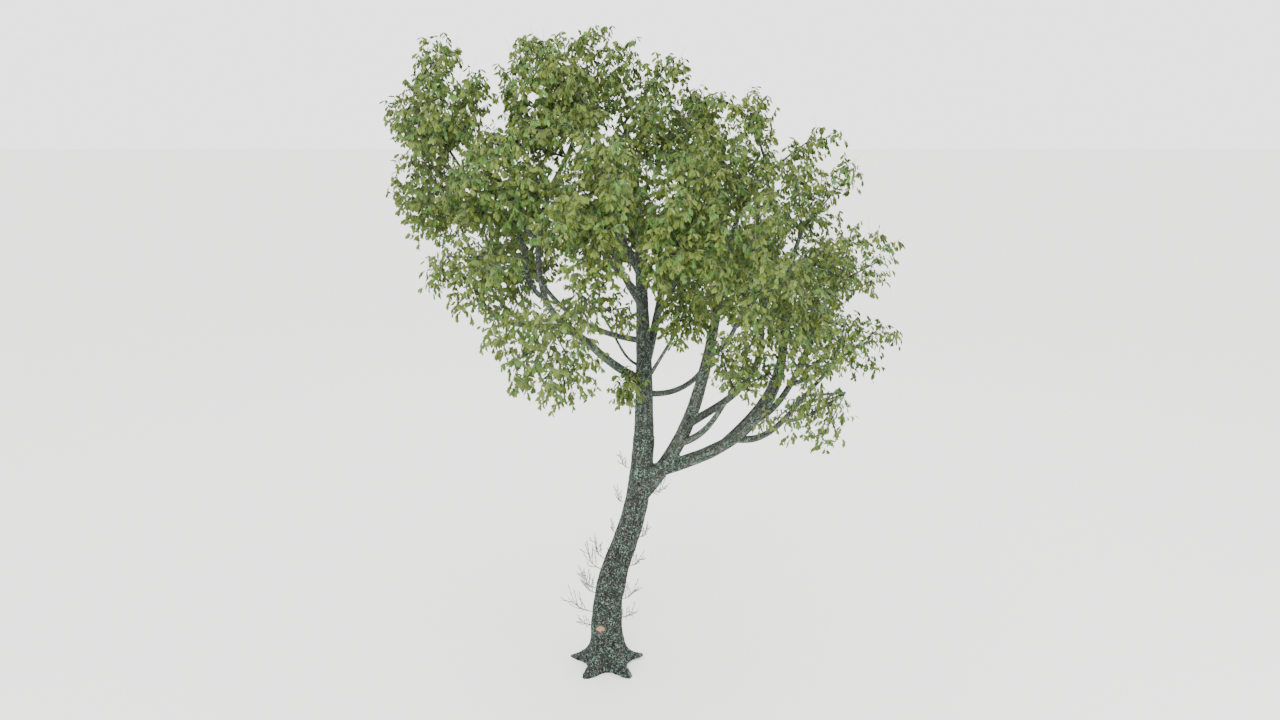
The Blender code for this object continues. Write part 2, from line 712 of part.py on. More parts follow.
def build_mass(seed, name, in_the_way, leaf):
    """A mass of foliage: a stem that meets its limb, twigs from it, and a blade for each spray."""
    mass = MASSES[name]
    rng = np.random.default_rng(seed)
    centre, reach = np.array(mass.centre), np.array(mass.reach)
    foot, head = stem_of(name)
    obstacles = tree_of(*joined(in_the_way))
    inset = reach * INSET
    pool = rng.uniform(-1, 1, (POOL, 3))
    pool = centre + pool[(pool**2).sum(1) <= 1] * inset
    pool = pool[inside(name, pool, BORDER + TWIG_RADIUS)]

    def passable(start, end):
        vertices, faces = skin(rings_along([start, end], [TWIG_RADIUS + CLEAR] * 2, TWIG_SIDES))
        return not tree_of(vertices, faces).overlap(obstacles)

    points = spread_points(pool, joints_of(reach), head)
    joints, parents = grow_twigs(foot, head, points, passable)
    tubes = {
        number: skin(
            rings_along([joints[parents[number]], joints[number]], [TWIG_RADIUS] * 2, TWIG_SIDES)
        )
        for number in range(2, len(joints))
    }
    taken = []

    def free(corners, number):
        vertices, faces = blade_solid(corners)
        if not inside(name, np.array(vertices)).all() or tree_of(vertices, faces).overlap(obstacles):
            return False
        # It may meet its own twig, and others only where it springs from them.
        root, tip = vertices[0], vertices[1]
        heart = [root + (tip - root) * HEART, tip + (root - tip) * HEART, *vertices[2:]]
        others = [tubes[other] for other in tubes if other != number] + taken
        if others and tree_of(heart, faces).overlap(tree_of(*joined(others))):
            return False
        taken.append((heart, faces))
        return True

    placed = place_blades(joints, parents, centre, reach, free, rng)
    obj, clean = fuse(name, twig_solids(joints, parents, placed, stem_radius_of(name)), leaf)
    if mass.share < 1:
        cut_by(obj, [limb_tube(mass.limb, GAP)])
    if not clean:
        # It touches itself somewhere along an edge, so it is grown again from another seed.
        bpy.data.objects.remove(obj)
        build_mass(seed + len(MASSES), name, in_the_way, leaf)


def build_shoot(number, name, bark):
    """A bare shoot: a stem out of the trunk's side, with short twigs that rise towards its end."""
    shoot = SHOOTS[name]
    rng = np.random.default_rng(SHOOT_SEED + number)
    foot, way = curve_point(shoot.limb, shoot.share), direction(*shoot.start)
    bark_depth = LIMBS[shoot.limb].thick / 2
    length = shoot.reach - bark_depth
    head = foot + way * (bark_depth + length * SHOOT_BARE)
    spread = length * SHOOT_SPREAD
    middle = foot + way * (shoot.reach - spread) + np.array([0, 0, SHOOT_RISE * spread])
    pool = middle + rng.uniform(-1, 1, (POOL, 3)) * spread
    points = spread_points(pool, SHOOT_TWIGS, head)
    joints, parents = grow_twigs(foot, head, points, lambda start, end: True)
    chains, _ = chains_of(joints, parents)
    solids = []
    for chain in chains:
        sizes = [SHOOT_RADIUS if number < 2 else SHOOT_TIP_RADIUS for number in chain]
        solids.append(skin(rings_along([joints[number] for number in chain], sizes, TWIG_SIDES)))
    obj, _ = fuse(name, solids, bark)
    cut_by(obj, [limb_tube(shoot.limb, GAP)])
    shade(obj)


def build_tree():
    clear_scene()
    bark = material("bark", "#5d655c", 0.9)
    young_bark = material("young bark", "#8b8f88", 0.8)
    leaf = material("oak leaf", "#6c7a3c", 0.6)
    build_limbs(bark)
    limbs = [limb_tube(name, CLEAR) for name in LIMBS]
    stems = {
        name: skin(rings_along(stem_of(name), [stem_radius_of(name) + CLEAR] * 2, TWIG_SIDES))
        for name in MASSES
    }
    for number, name in enumerate(MASSES):
        others = [stems[other] for other in MASSES if other != name]
        build_mass(number, name, limbs + others, leaf)
    for number, name in enumerate(SHOOTS):
        build_shoot(number, name, young_bark)


build_tree()
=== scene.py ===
"""The looks of a red oak tree in summer leaf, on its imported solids: a skin of bark over the trunk
and the limbs, a pruning scar, bare shoots, and the twigs and leaves of every foliage mass.

The twigs follow the rule that the solids were grown by, from the same seeds, and are carried on to
finer twigs and single leaves. Lengths are in metres, angles in degrees.
"""

import json
import math
from collections import namedtuple

import bpy
import numpy as np
from mathutils import Matrix, Vector, noise
from mathutils.bvhtree import BVHTree
from mathutils.geometry import tessellate_polygon

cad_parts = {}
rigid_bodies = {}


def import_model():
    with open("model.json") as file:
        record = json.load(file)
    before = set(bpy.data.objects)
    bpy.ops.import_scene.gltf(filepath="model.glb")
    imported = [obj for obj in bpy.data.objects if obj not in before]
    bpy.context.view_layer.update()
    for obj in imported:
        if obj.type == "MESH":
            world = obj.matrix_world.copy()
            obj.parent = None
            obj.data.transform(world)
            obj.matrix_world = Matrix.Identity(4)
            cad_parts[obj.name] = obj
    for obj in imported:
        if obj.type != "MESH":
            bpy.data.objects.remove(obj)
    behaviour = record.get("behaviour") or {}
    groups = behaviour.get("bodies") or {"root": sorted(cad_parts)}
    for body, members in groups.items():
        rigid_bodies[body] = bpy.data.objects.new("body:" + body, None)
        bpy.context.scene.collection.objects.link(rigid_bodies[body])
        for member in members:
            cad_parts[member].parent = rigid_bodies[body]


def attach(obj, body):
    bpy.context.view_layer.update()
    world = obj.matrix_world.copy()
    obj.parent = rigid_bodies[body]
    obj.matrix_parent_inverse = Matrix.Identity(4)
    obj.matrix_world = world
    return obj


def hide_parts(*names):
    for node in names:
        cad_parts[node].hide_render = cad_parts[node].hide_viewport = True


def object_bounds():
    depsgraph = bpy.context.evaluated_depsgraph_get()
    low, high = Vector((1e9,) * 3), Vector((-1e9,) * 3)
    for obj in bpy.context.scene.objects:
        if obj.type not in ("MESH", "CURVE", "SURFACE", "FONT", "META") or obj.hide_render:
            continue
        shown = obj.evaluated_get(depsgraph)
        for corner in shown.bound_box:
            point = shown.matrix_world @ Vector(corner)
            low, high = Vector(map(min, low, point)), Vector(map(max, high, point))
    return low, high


# The rule of the solids: gaps, the trunk and its limbs
GAP = 0.0003  # between two solids that meet
CLEAR = 0.008  # between a twig or leaf and a limb that it passes
BORDER = 0.006  # between a mass's leaves and the edge of its space
TRUNK_SIDES = 40
TRUNK_HEIGHTS = (0, 0.04, 0.1, 0.18, 0.28, 0.42, 0.62, 0.95)  # rings through the root flare
UPPER_RINGS = 7  # on the trunk, above the flare
LEVEL_HEIGHT = 0.9
RING_SPACING = 0.55
END_RING = 0.02  # from each end of a limb to a ring square to its curve
LIMB_SIDES = ((0.25, 10), (0.12, 8), (0, 6))  # for a limb thicker than the first number
COLLAR_SWELL = 0.16  # how much wider a limb is where it leaves its parent
COLLAR_LENGTH = 0.18
ROOT_HEADINGS = (-126, -54, 18, 90, 162)
ROOT_REACH = 0.34  # how far a root lobe stands out beyond the hollows between the lobes
ROOT_HEIGHT = 0.16
ROOT_HALF_WIDTH = 15
FOOT_SPREAD = 0.12  # how far the hollows between the lobes stand out beyond the trunk
FOOT_HEIGHT = 0.3

# The rule of the solids: foliage
SPRAY_LENGTH = 0.8
SPRAY_BREADTH = 0.7  # as a share of its length, as are the next two
SPRAY_FOLD = 0.06
SPRAY_WIDEST = 0.45
FULL_REACH = 0.75  # a mass with a smaller reach has smaller sprays
SPRAY_TURNS = 14  # ways that a blade is tried before it is left out
SPRAY_SIZES = (0.88, 1.12)
SHRINK = 0.03  # how much smaller it gets with each try
OUTWARD = 0.4  # how much a blade turns from its twig towards the outside of its mass
WANDER = 0.6
LEAST_RUN_ON = 0.5  # the least cosine between a twig and the blade at its end
DROOP = 0.3
LIFT = 0.15  # how much a blade's face turns up from facing outward
TILT = 0.35
SIDE_SHARES = (0.7, 0.35)  # where sprays spring from the side of each stretch of twig
HOLLOW = 0.3  # how near the middle of a mass they do so, as a share of its reach
HEART = 0.2  # how much of each end of a blade may meet other twigs
ALONG_BREADTH = 0.85  # of a spray that surrounds a stretch of twig
ALONG_WIDEST = 0.6
JOINTS_PER_SIZE = 2.3
SIZE_POWER = 0.6
INSET = 0.66  # how far out the twigs' joints reach, as a share of the mass's reach
TWIG_RADIUS = 0.009
TWIG_SIDES = 3
TWIG_TRIES = 4
STEM_SHARE = 0.42  # a mass's stem, as a share of the mass's least reach
STEM_STEP = 0.05  # added to its length until it ends inside the mass's space
STEM_GIRTH = 0.8  # as a share of its limb's tip
SIDE_STEM_RADIUS = 0.012
DETOUR = 0.35  # how much a new twig minds a long way round to the stem
TURN = 0.5  # how much a new twig minds a sharp turn
POOL = 900

# Bark skin
MAIN_LIMBS = ("trunk", "leader", "bough_middle", "bough_right")
CURVE_STEPS = 120  # that a limb's length is measured in
TRUNK_STEPS = 200  # in which the trunk's middle is looked for at each height
RING_STEP = 0.06  # between the rings of a limb's tube, before it is bent
LEAST_RINGS = 6
SKIN_SIDES = 24
TRUNK_SKIN_SIDES = 72
PATH_STEPS = 60  # of the path that a tube is bent along
ON_AXIS = 0.01  # how near the trunk's middle a vertex is on no side of it
ROOT_STRETCH = 1.12  # makes up for what the remesh takes off the roots' points
MAIN_GRAIN = 0.017  # the size of the bark skin's faces on the main limbs, and on the others
THIN_GRAIN = 0.014
BLEND = 6  # rounds of smoothing that fill the crotches
SIDE_COSINE = 0.5  # the greatest between a limb's way and a normal on its side, not on its end
AXIS_STEPS = 70  # points along each limb that its grain is measured from
LIMBS_APART = 5  # added to the grain from limb to limb, so that no two are alike
BATCH = 8000  # vertices whose nearest limb is looked for at once
YOUNG_RADIUS = 0.06  # of a limb whose bark is all young
AGEING = 0.2  # how much thicker a limb is when its bark is all old
FISSURE = 0.05  # across a ridge of the bark and the furrow beside it
FISSURE_LENGTH = 0.4
RELIEF = 0.016  # from furrow to ridge on old bark
YOUNG_RELIEF = 0.12  # as a share of that on old bark
RIDGE_LAYERS = (1.0, 2.0, 3)  # how fast finer layers fade, how much finer each is, how many
HIGHEST_RIDGE = 0.7  # past which a ridge is flat-topped, as old oak bark is
BURL = 0.35  # between the trunk's broad swellings
BURL_HEIGHT = 0.022

# Pruning scar
SCAR_SHARE = 0.135  # up the trunk
SCAR_HEADING = -110
SCAR_SLOPE = 4
SCAR_ROLL = 12
SCAR_SIDES = 32
SCAR_RADIUS = 0.1
SCAR_OVAL = (1.2, 0.85)
SCAR_SUNK = 0.01  # how far inside the trunk's round its rim starts
RIM_HEIGHT = 0.035
RIM_BREADTH = 0.018
RIM_SLOPE = 0.012
RIM_ROUNDING = 0.006
SCAR_DEPTH = 0.014

# Bare shoots
SHOOT_SEED = 100
SOLID_SHOOTS = 4  # that have a solid
SHOOT_SIDES = 5
SHOOT_STEPS = 4
SHOOT_LEVEL = (1, 1, 0.2)  # how much of a shoot's way is left where it leaves the bark
SHOOT_ROOT = 0.05  # how deep it starts in the bark
SHOOT_STEM = 0.8  # how far its stem runs, as a share of its reach
SHOOT_BEND = 0.6
SHOOT_TURNS = (40, -25)  # of the twigs that fork off at each step, up or down from its way
SHOOT_SWING = 12
SHOOT_SCATTER = 0.35  # how far they stray to either side
SHOOT_LIFT = 0.5
SHOOT_SIDE_LENGTHS = (0.4, 0.65)  # as shares of the shoot's, as are the next
TWIGLET_LENGTHS = (0.15, 0.3)
TWIGLET_STRAY = 0.45
SHOOT_FOOT_RADIUS = 0.0084
SHOOT_FORK_RADIUS = 0.006
SHOOT_SIDE_RADIUS = 0.0045
SHOOT_TWIGLET_RADIUS = 0.003

# Leaves
LEAF_LENGTH = 0.118
LEAF_HALF = (
    (0.04, 0.02),
    (0.28, 0.2),
    (0.42, 0.15),
    (0.62, 0.26),
)  # (along, across) as shares of its length, from its foot round the lobes of one side
LEAF_RIB = (-0.2, 0.5, 1.0)
LEAF_FOLD = 0.28  # how far a half stands up from the midrib, as a share of its breadth
LEAF_ARCH = 0.22  # how far the tip bends down, as a share of the length
LEAF_SIZES = (0.7, 1.2)
LEAF_TILT = 0.75
LEAF_LIFT = 0.35
LEAF_DROOP = 1.2
LEAF_SEATS = ((1, -45), (1, 25), (0.78, 60), (0.54, -60), (0.3, 55))  # along a twig, and turned off it
LEAF_SWING = 15
LEAF_RISE = 0.4
LEAF_SEED = 1000
TINT_SHARES = (0.21, 0.21, 0.18, 0.16, 0.14, 0.1)

# Fine twigs: some fan out over each spray's blade, and others fill the space between, evenly
SPRAY_RUN = 0.8  # how far the middle one runs, as a share of the spray's length
SIDE_FORKS = (0.25, 0.6)  # along it, where the side ones fork off in pairs
FORK_STRAY = 0.08
SIDE_REACHES = (0.8, 1.1)  # of the side ones, as shares of the blade's breadth there
SIDE_RUNS = (0.08, 0.25)  # how far they run on, as shares of the spray's length
NARROWING = 0.8  # of the blade, away from its widest place
ROUGHNESS = 0.09  # how far the side ones stray from the blade
FINE_DENSITY = 195  # the ones between, to the cubic metre
THINNED = {
    "foliage_low_front": (0.5, 0.9),
    "foliage_inner_left": (0.35, 1),
    "foliage_right_skirt": (0.25, 0.75),
    "foliage_right_tips": (0.3, 0.85),
    "foliage_crown_peak": (0.6, 1),
    "foliage_leader_top": (0.65, 1),
    "foliage_right_top": (0.7, 1),
    "foliage_coleader_top": (0.7, 1),
    "foliage_right_shoulder": (0.45, 0.8),
    "foliage_right_outer": (0.42, 0.8),
    "foliage_right_low": (0.65, 0.75),
    "foliage_right_back": (0.5, 1),
    "foliage_middle_back": (0.8, 1),
    "foliage_left_peak": (0.75, 1),
    "foliage_far_left": (0.7, 1),
    "foliage_middle_under": (0.6, 0.85),
    "foliage_right_front": (0.8, 0.85),
    "foliage_left_low": (0.75, 0.85),
    "foliage_left_shoulder": (0.9, 1),
    "foliage_left_back": (0.75, 1),
}  # the shares of its fine twigs between sprays, and of its leaves, that an open mass keeps
FINE_POOL = 4000
FINE_NEAR = 0.23  # how far from another twig they may end
FINE_PROUD = 0.03  # how far they pass the edge of a mass's space
BARE_TIPS = 0.1  # the share of them that end in a bare tip
BARE_TIP_LENGTHS = (0.1, 0.26)
BARE_TIP_RISE = 0.8
TWIG_HOSTS = (0.3, 0.65, 1)  # along a solid's twig, where fine ones may spring
SPRAY_HOSTS = (0.5, 0.9)  # along a spray's twig
FACE_STRAY = 0.5
FINE_RADIUS = 0.0042
FINE_TIP_RADIUS = 0.0018
FINE_SIDES = 3
MIDDLE_GIRTH = 1.5  # of a spray's middle twig, to a side one
BARE_TIP_GIRTH = 1.6
TWIG_GIRTH = 1.3  # how much thicker a mass's own twigs are than in its solid
TWIG_TAPER = 0.85
THICK_TWIG = 0.008  # the radius past which a twig has the limbs' bark and more sides
THICK_SIDES = 6

# Light and camera
SKY_STRENGTH = 2.7
LAMPS = {
    "key": ((-4, -20, 18), 10, 3500),
    "fill": ((16, -12, 12), 12, 1000),
    "back": ((4, 16, 18), 12, 1000),
}  # place, breadth and watts
LAMP_AIM = (0.9, 0, 6)
CAMERA_PLACE = (0.636, -18.95, 11.29)
CAMERA_PITCH = 15  # down
CAMERA_LENS = 30
CAMERA_REACH = 200
FLOOR_SIZE = 300
FLOOR_DROP = 0.002  # below the cut under the trunk

Axis = namedtuple("Axis", "place radius length across up way")
Limb = namedtuple("Limb", "parent share tip start end thick thin handle", defaults=[0.36])
LIMBS = {
    "trunk": Limb(None, 0, (0.7, 0.0, 4.66), (180, 86), (0, 88), 0.6, 0.4, 0.52),
    "leader": Limb("trunk", 1, (0.58, 0.2, 9.38), (0, 88), (107, 81), 0.38, 0.107, 0.3),
    "bough_middle": Limb(
        "trunk", 0.81, (2.26, -0.4, 8.58), (2, 46), (40, 72), 0.322, 0.105
    ),
    "bough_right": Limb(
        "trunk", 0.89, (2.87, -0.75, 5.56), (-1, 20), (-27, 58), 0.284, 0.188, 0.4
    ),
    "bough_right_upper": Limb(
        "bough_right", 1, (3.38, -0.2, 8.28), (-27, 58), (58, 48), 0.179, 0.089
    ),
    "bough_right_inner": Limb(
        "bough_right", 0.88, (4.09, -0.1, 7.51), (23, 12), (-73, 40), 0.126, 0.072
    ),
    "limb_right_reach": Limb(
        "bough_right_inner", 0.34, (4.32, 0.2, 6.14), (-5, 18), (-2, 42), 0.083, 0.056
    ),
    "bough_right_lower": Limb(
        "bough_right", 0.7, (3.62, -1.2, 6.03), (-14, -8), (-15, 51), 0.137, 0.069
    ),
    "limb_right_skirt": Limb(
        "bough_right_lower", 0.59, (3.96, -1.4, 5.86), (-46, 10), (-30, 40), 0.071, 0.052
    ),
    "bough_right_arc": Limb(
        "bough_right", 0.55, (3.48, 1.8, 6.14), (40, 27), (72, 68), 0.129, 0.08
    ),
    "limb_middle_back": Limb(
        "bough_middle", 0.33, (3.09, 1.9, 6.22), (38, 14), (80, 58), 0.157, 0.101
    ),
    "limb_middle_under": Limb(
        "bough_middle", 0.25, (2.16, -1.05, 5.77), (-36, 19), (-62, 49), 0.14, 0.079
    ),
    "limb_middle_front": Limb(
        "bough_middle", 0.6, (2.29, -1.85, 7.52), (-69, 21), (-77, 52), 0.108, 0.066
    ),
    "bough_low_left": Limb(
        "leader", 0.25, (-0.65, -1.6, 7.28), (-154, 29), (-131, 35), 0.166, 0.117
    ),
    "limb_left_upright": Limb(
        "bough_low_left", 1, (-0.76, -1.1, 9.63), (-131, 35), (44, 52), 0.108, 0.075
    ),
    "limb_left_reach": Limb(
        "bough_low_left", 0.95, (-1.94, -1.5, 7.55), (-165, 7), (148, 51), 0.084, 0.058
    ),
    "limb_far_left": Limb(
        "limb_left_reach", 0.4, (-2.5, 0.2, 8.40), (126, 2), (126, 47), 0.067, 0.054
    ),
    "limb_left_shoulder": Limb(
        "limb_left_upright", 0.24, (-1.51, -1.1, 8.90), (164, 19), (154, 42), 0.082, 0.059
    ),
    "limb_low_front": Limb(
        "bough_low_left", 0.78, (-0.66, -2.2, 7.25), (-105, 23), (-96, 10), 0.077, 0.048
    ),
    "bough_left_back": Limb("leader", 0.41, (-1.51, 1.6, 7.76), (158, 0), (135, 52), 0.11, 0.078),
    "limb_left_peak": Limb(
        "limb_left_upright", 0.59, (-2.42, -0.4, 9.70), (120, 26), (141, 46), 0.065, 0.052
    ),
    "limb_inner_left": Limb(
        "leader", 0.31, (0.06, -0.8, 7.11), (-136, 17), (-134, 54), 0.055, 0.038
    ),
    "bough_back_right": Limb(
        "leader", 0.205, (2.07, 2.5, 6.82), (39, -18), (132, 65), 0.115, 0.082, 0.4
    ),
    "coleader": Limb("leader", 0.29, (1.4, 0.7, 9.43), (32, 72), (53, 70), 0.166, 0.091),
    "limb_fork_right": Limb(
        "leader", 0.24, (1.19, -0.5, 6.70), (-76, 34), (-41, 56), 0.083, 0.053
    ),
    "bough_high_back": Limb(
        "leader", 0.56, (-0.11, 1.8, 8.16), (113, 29), (92, 33), 0.109, 0.078
    ),
    "bough_crown_peak": Limb(
        "leader", 0.65, (-0.11, 0.3, 9.99), (142, 53), (-118, 82), 0.127, 0.08
    ),
    "bough_high_front": Limb(
        "leader", 0.53, (0.18, -1.8, 8.57), (-103, 31), (-108, 49), 0.109, 0.065
    ),
    "limb_right_front": Limb(
        "coleader", 0.29, (1.29, -1.7, 8.28), (-67, 39), (-85, 39), 0.092, 0.057
    ),
}

Mass = namedtuple("Mass", "limb centre reach share", defaults=[1])
MASSES = {
    "foliage_leader_top": Mass("leader", (0.9, 0.3, 10.54), (0.94, 1.1, 1.21)),
    "foliage_right_top": Mass("bough_middle", (2.31, -0.5, 9.88), (0.94, 1.1, 1.26)),
    "foliage_right_shoulder": Mass("bough_right_upper", (3.5, 0.1, 9.31), (1.04, 1.21, 1.26)),
    "foliage_right_outer": Mass("bough_right_inner", (4.2, -0.3, 8.12), (1.12, 1.04, 0.86)),
    "foliage_right_tips": Mass("limb_right_reach", (4.68, 0.4, 6.4), (0.9, 0.93, 0.86)),
    "foliage_right_low": Mass("bough_right_lower", (3.39, -1.6, 7.16), (0.99, 1.1, 0.99)),
    "foliage_right_skirt": Mass("limb_right_skirt", (3.5, -1.6, 5.72), (1.02, 0.88, 0.64)),
    "foliage_right_back": Mass("bough_right_arc", (3.89, 2.4, 7.05), (1.21, 1.32, 1.32)),
    "foliage_middle_back": Mass("limb_middle_back", (2.91, 2.9, 7.47), (1.1, 1.32, 1.32)),
    "foliage_right_front": Mass("limb_middle_front", (2.38, -2.3, 8.22), (1.1, 1.21, 1.32)),
    "foliage_middle_under": Mass("limb_middle_under", (2.45, -1.3, 6.37), (0.72, 0.77, 1.08)),
    "foliage_crown_left": Mass("limb_left_upright", (-0.84, -1, 10.69), (0.97, 1.1, 1.34)),
    "foliage_left_low": Mass("limb_left_reach", (-1.98, -1.6, 8.07), (1.01, 1.1, 1.01)),
    "foliage_far_left": Mass("limb_far_left", (-3.14, 0.5, 9.17), (0.83, 1.21, 0.99)),
    "foliage_left_shoulder": Mass("limb_left_shoulder", (-1.7, -1.4, 9.69), (0.99, 1.1, 1.16)),
    "foliage_low_front": Mass("limb_low_front", (-0.86, -3, 7.18), (1.05, 1.04, 0.94)),
    "foliage_left_back": Mass("bough_left_back", (-1.75, 2, 8.34), (1.32, 1.32, 1.38)),
    "foliage_left_peak": Mass("limb_left_peak", (-2.72, -0.3, 10.75), (1.0, 1.12, 1.2)),
    "foliage_inner_left": Mass("limb_inner_left", (-0.05, -1.2, 7.46), (0.75, 0.72, 0.6)),
    "foliage_right_far_back": Mass("bough_back_right", (1.87, 2.9, 7.89), (1.1, 1.21, 1.43)),
    "foliage_coleader_top": Mass("coleader", (1.5, 1, 10.05), (0.88, 1.2, 1.2)),
    "foliage_fork_right": Mass("limb_fork_right", (1.34, -0.8, 7.34), (0.66, 0.72, 0.79)),
    "foliage_high_back": Mass("bough_high_back", (-0.17, 2.6, 8.65), (1.21, 1.32, 1.43)),
    "foliage_crown_peak": Mass("bough_crown_peak", (-0.22, 0.5, 11.14), (1.08, 1.21, 1.12)),
    "foliage_high_front": Mass("bough_high_front", (-0.02, -2.3, 9.17), (1.1, 1.1, 1.32)),
    "foliage_right_inner_front": Mass("limb_right_front", (1.34, -2.2, 9.00), (1.04, 1.1, 1.32)),
    "foliage_trunk_tuft": Mass("leader", (0.42, -0.55, 5.85), (0.33, 0.33, 0.37), 0.22),
}

REGROWN = {"foliage_right_top": 28, "foliage_left_shoulder": 41, "foliage_trunk_tuft": 53}

Shoot = namedtuple("Shoot", "limb share start reach")
# The first four are those of the solids.
SHOOTS = {
    "shoot_low_left": Shoot("trunk", 0.18, (184, 22), 0.78),
    "shoot_mid_left": Shoot("trunk", 0.39, (172, 38), 0.7),
    "shoot_fork_left": Shoot("trunk", 0.91, (178, 38), 0.5),
    "shoot_low_right": Shoot("trunk", 0.24, (-8, 26), 0.62),
    "shoot_foot_left": Shoot("trunk", 0.13, (190, 12), 0.55),
    "shoot_mid_front": Shoot("trunk", 0.3, (200, 35), 0.7),
    "shoot_upper_left": Shoot("trunk", 0.78, (186, 40), 0.48),
    "shoot_high_left": Shoot("trunk", 0.62, (175, 45), 0.42),
    "shoot_foot_right": Shoot("trunk", 0.16, (-12, 18), 0.58),
    "shoot_mid_right": Shoot("trunk", 0.43, (-14, 24), 0.55),
    "shoot_high_right": Shoot("bough_middle", 0.02, (-14, 20), 0.5),
    "shoot_bend_left": Shoot("trunk", 0.45, (168, 44), 0.62),
    "shoot_bend_right": Shoot("trunk", 0.6, (-8, 32), 0.5),
    "shoot_side_left": Shoot("trunk", 0.26, (180, 40), 0.64),
    "shoot_back": Shoot("trunk", 0.35, (95, 30), 0.6),
}


def unit(vector):
    return vector / np.linalg.norm(vector)


def direction(heading, slope):
    heading, slope = math.radians(heading), math.radians(slope)
    return np.array(
        [math.cos(slope) * math.cos(heading), math.cos(slope) * math.sin(heading), math.sin(slope)]
    )


def foot_of(name):
    """Where a limb's curve starts: the trunk's at the origin, any other on its parent's curve."""
    limb = LIMBS[name]
    if limb.parent is None:
        return np.zeros(3)
    foot = curve_point(limb.parent, limb.share)
    return foot + direction(*limb.start) * GAP if limb.share == 1 else foot


def curve_point(name, share):
    """The point at a share from 0 to 1 of a limb's curve, a cubic between its foot and its tip."""
    limb = LIMBS[name]
    foot, tip = foot_of(name), np.array(limb.tip)
    handle = limb.handle * np.linalg.norm(tip - foot)
    leaving = foot + direction(*limb.start) * handle
    arriving = tip - direction(*limb.end) * handle
    rest = 1 - share
    return (
        rest**3 * foot
        + 3 * rest**2 * share * leaving
        + 3 * rest * share**2 * arriving
        + share**3 * tip
    )


def limb_shares(name):
    """Where the rings of a limb's tube lie: evenly, and closer together through the root flare."""
    if name == "trunk":
        flare = [height / LIMBS[name].tip[2] for height in TRUNK_HEIGHTS]
        return np.array([*flare[:-1], *np.linspace(flare[-1], 1, UPPER_RINGS + 1)])
    steps = np.diff([curve_point(name, share) for share in np.linspace(0, 1, 30)], axis=0)
    length = np.linalg.norm(steps, axis=1).sum()
    return np.linspace(0, 1, max(3, round(length / RING_SPACING) + 1))


def limb_radius(name, share, walked):
    limb = LIMBS[name]
    radius = (limb.thick + (limb.thin - limb.thick) * share) / 2
    if limb.parent and limb.share < 1:
        radius *= 1 + COLLAR_SWELL * math.exp(-walked / COLLAR_LENGTH)
    return radius


def root_flare(angle, height):
    """How far the foot of the trunk stands out beyond its plain taper."""
    off = min(abs((angle - heading + 180) % 360 - 180) for heading in ROOT_HEADINGS)
    lobe = ROOT_REACH * math.exp(-((off / ROOT_HALF_WIDTH) ** 2))
    return FOOT_SPREAD * math.exp(-height / FOOT_HEIGHT) + lobe * math.exp(-height / ROOT_HEIGHT)


def rings_along(points, radii, sides, flared=False):
    """A ring of vertices round each point of a path, each turned as little as can be from the last."""
    points = np.array(points, float)
    ways = np.gradient(points, axis=0)
    ways[0], ways[-1] = points[1] - points[0], points[-1] - points[-2]
    across = np.array([1.0, 0, 0]) if abs(unit(ways[0])[0]) < 0.9 else np.array([0, 1.0, 0])
    turns = 2 * math.pi * np.arange(sides) / sides
    rings = []
    for point, way, radius in zip(points, ways, radii):
        way = unit(way)
        across = unit(across - way * across.dot(way))
        up = np.cross(way, across)
        reach = np.full(sides, radius)
        if flared:
            reach += [root_flare(math.degrees(turn), point[2]) for turn in turns]
        spokes = reach[:, None] * (np.outer(np.cos(turns), across) + np.outer(np.sin(turns), up))
        if flared:
            # The rings lie level on the ground, and square to the curve from LEVEL_HEIGHT up.
            spokes[:, 2] *= min(1, point[2] / LEVEL_HEIGHT)
        rings.append(point + spokes)
    return rings


def skin(rings):
    """Vertices and faces of a closed skin over rings of vertices, with a flat cap at each end."""
    sides = len(rings[0])
    vertices = [vertex for ring in rings for vertex in ring]
    faces = [tuple(reversed(range(sides)))]
    for ring in range(len(rings) - 1):
        for side in range(sides):
            a, b = ring * sides + side, ring * sides + (side + 1) % sides
            faces += [(a, b, b + sides), (a, b + sides, a + sides)]
    faces.append(tuple(range(len(vertices) - sides, len(vertices))))
    return vertices, faces


def walked_along(points):
    """How far along a path each of its points lies."""
    return np.concatenate([[0], np.cumsum(np.linalg.norm(np.diff(points, axis=0), axis=1))])


def limb_tube(name, extra):
    """A limb's tube, from inside its parent to its tip. extra is added to every radius."""
    limb = LIMBS[name]
    points = [curve_point(name, share) for share in limb_shares(name)]
    walked = walked_along(points)
    radii = [limb_radius(name, s, w) + extra for s, w in zip(limb_shares(name), walked)]
    # The end rings lie square to the curve, so that the next solid meets the tip flat.
    ends = direction(*limb.start), direction(*limb.end)
    points[-1:-1] = [points[-1] - ends[1] * END_RING]
    radii[-1:-1] = [radii[-1]]
    if name == "trunk":
        return skin(rings_along(points, radii, TRUNK_SIDES, flared=True))
    points[1:1] = [points[0] + ends[0] * END_RING]
    radii[1:1] = [radii[0]]
    sides = next(count for least, count in LIMB_SIDES if limb.thick > least)
    return skin(rings_along(points, radii, sides))


def tree_of(vertices, faces):
    return BVHTree.FromPolygons([Vector(v) for v in vertices], faces)


def inside(name, points, margin=BORDER):
    """Whether each point lies in a mass's own space: its ellipsoid, cut flat towards each neighbour."""
    points = np.atleast_2d(points)
    mass = MASSES[name]
    centre, reach = np.array(mass.centre), np.array(mass.reach) - margin
    within = (((points - centre) / reach) ** 2).sum(1) <= 1
    own = ((points - centre) ** 2).sum(1) - np.mean(mass.reach) ** 2
    for other, neighbour in MASSES.items():
        if other == name:
            continue
        middle = np.array(neighbour.centre)
        theirs = ((points - middle) ** 2).sum(1) - np.mean(neighbour.reach) ** 2
        within &= (theirs - own) / (2 * np.linalg.norm(middle - centre)) >= margin
    return within


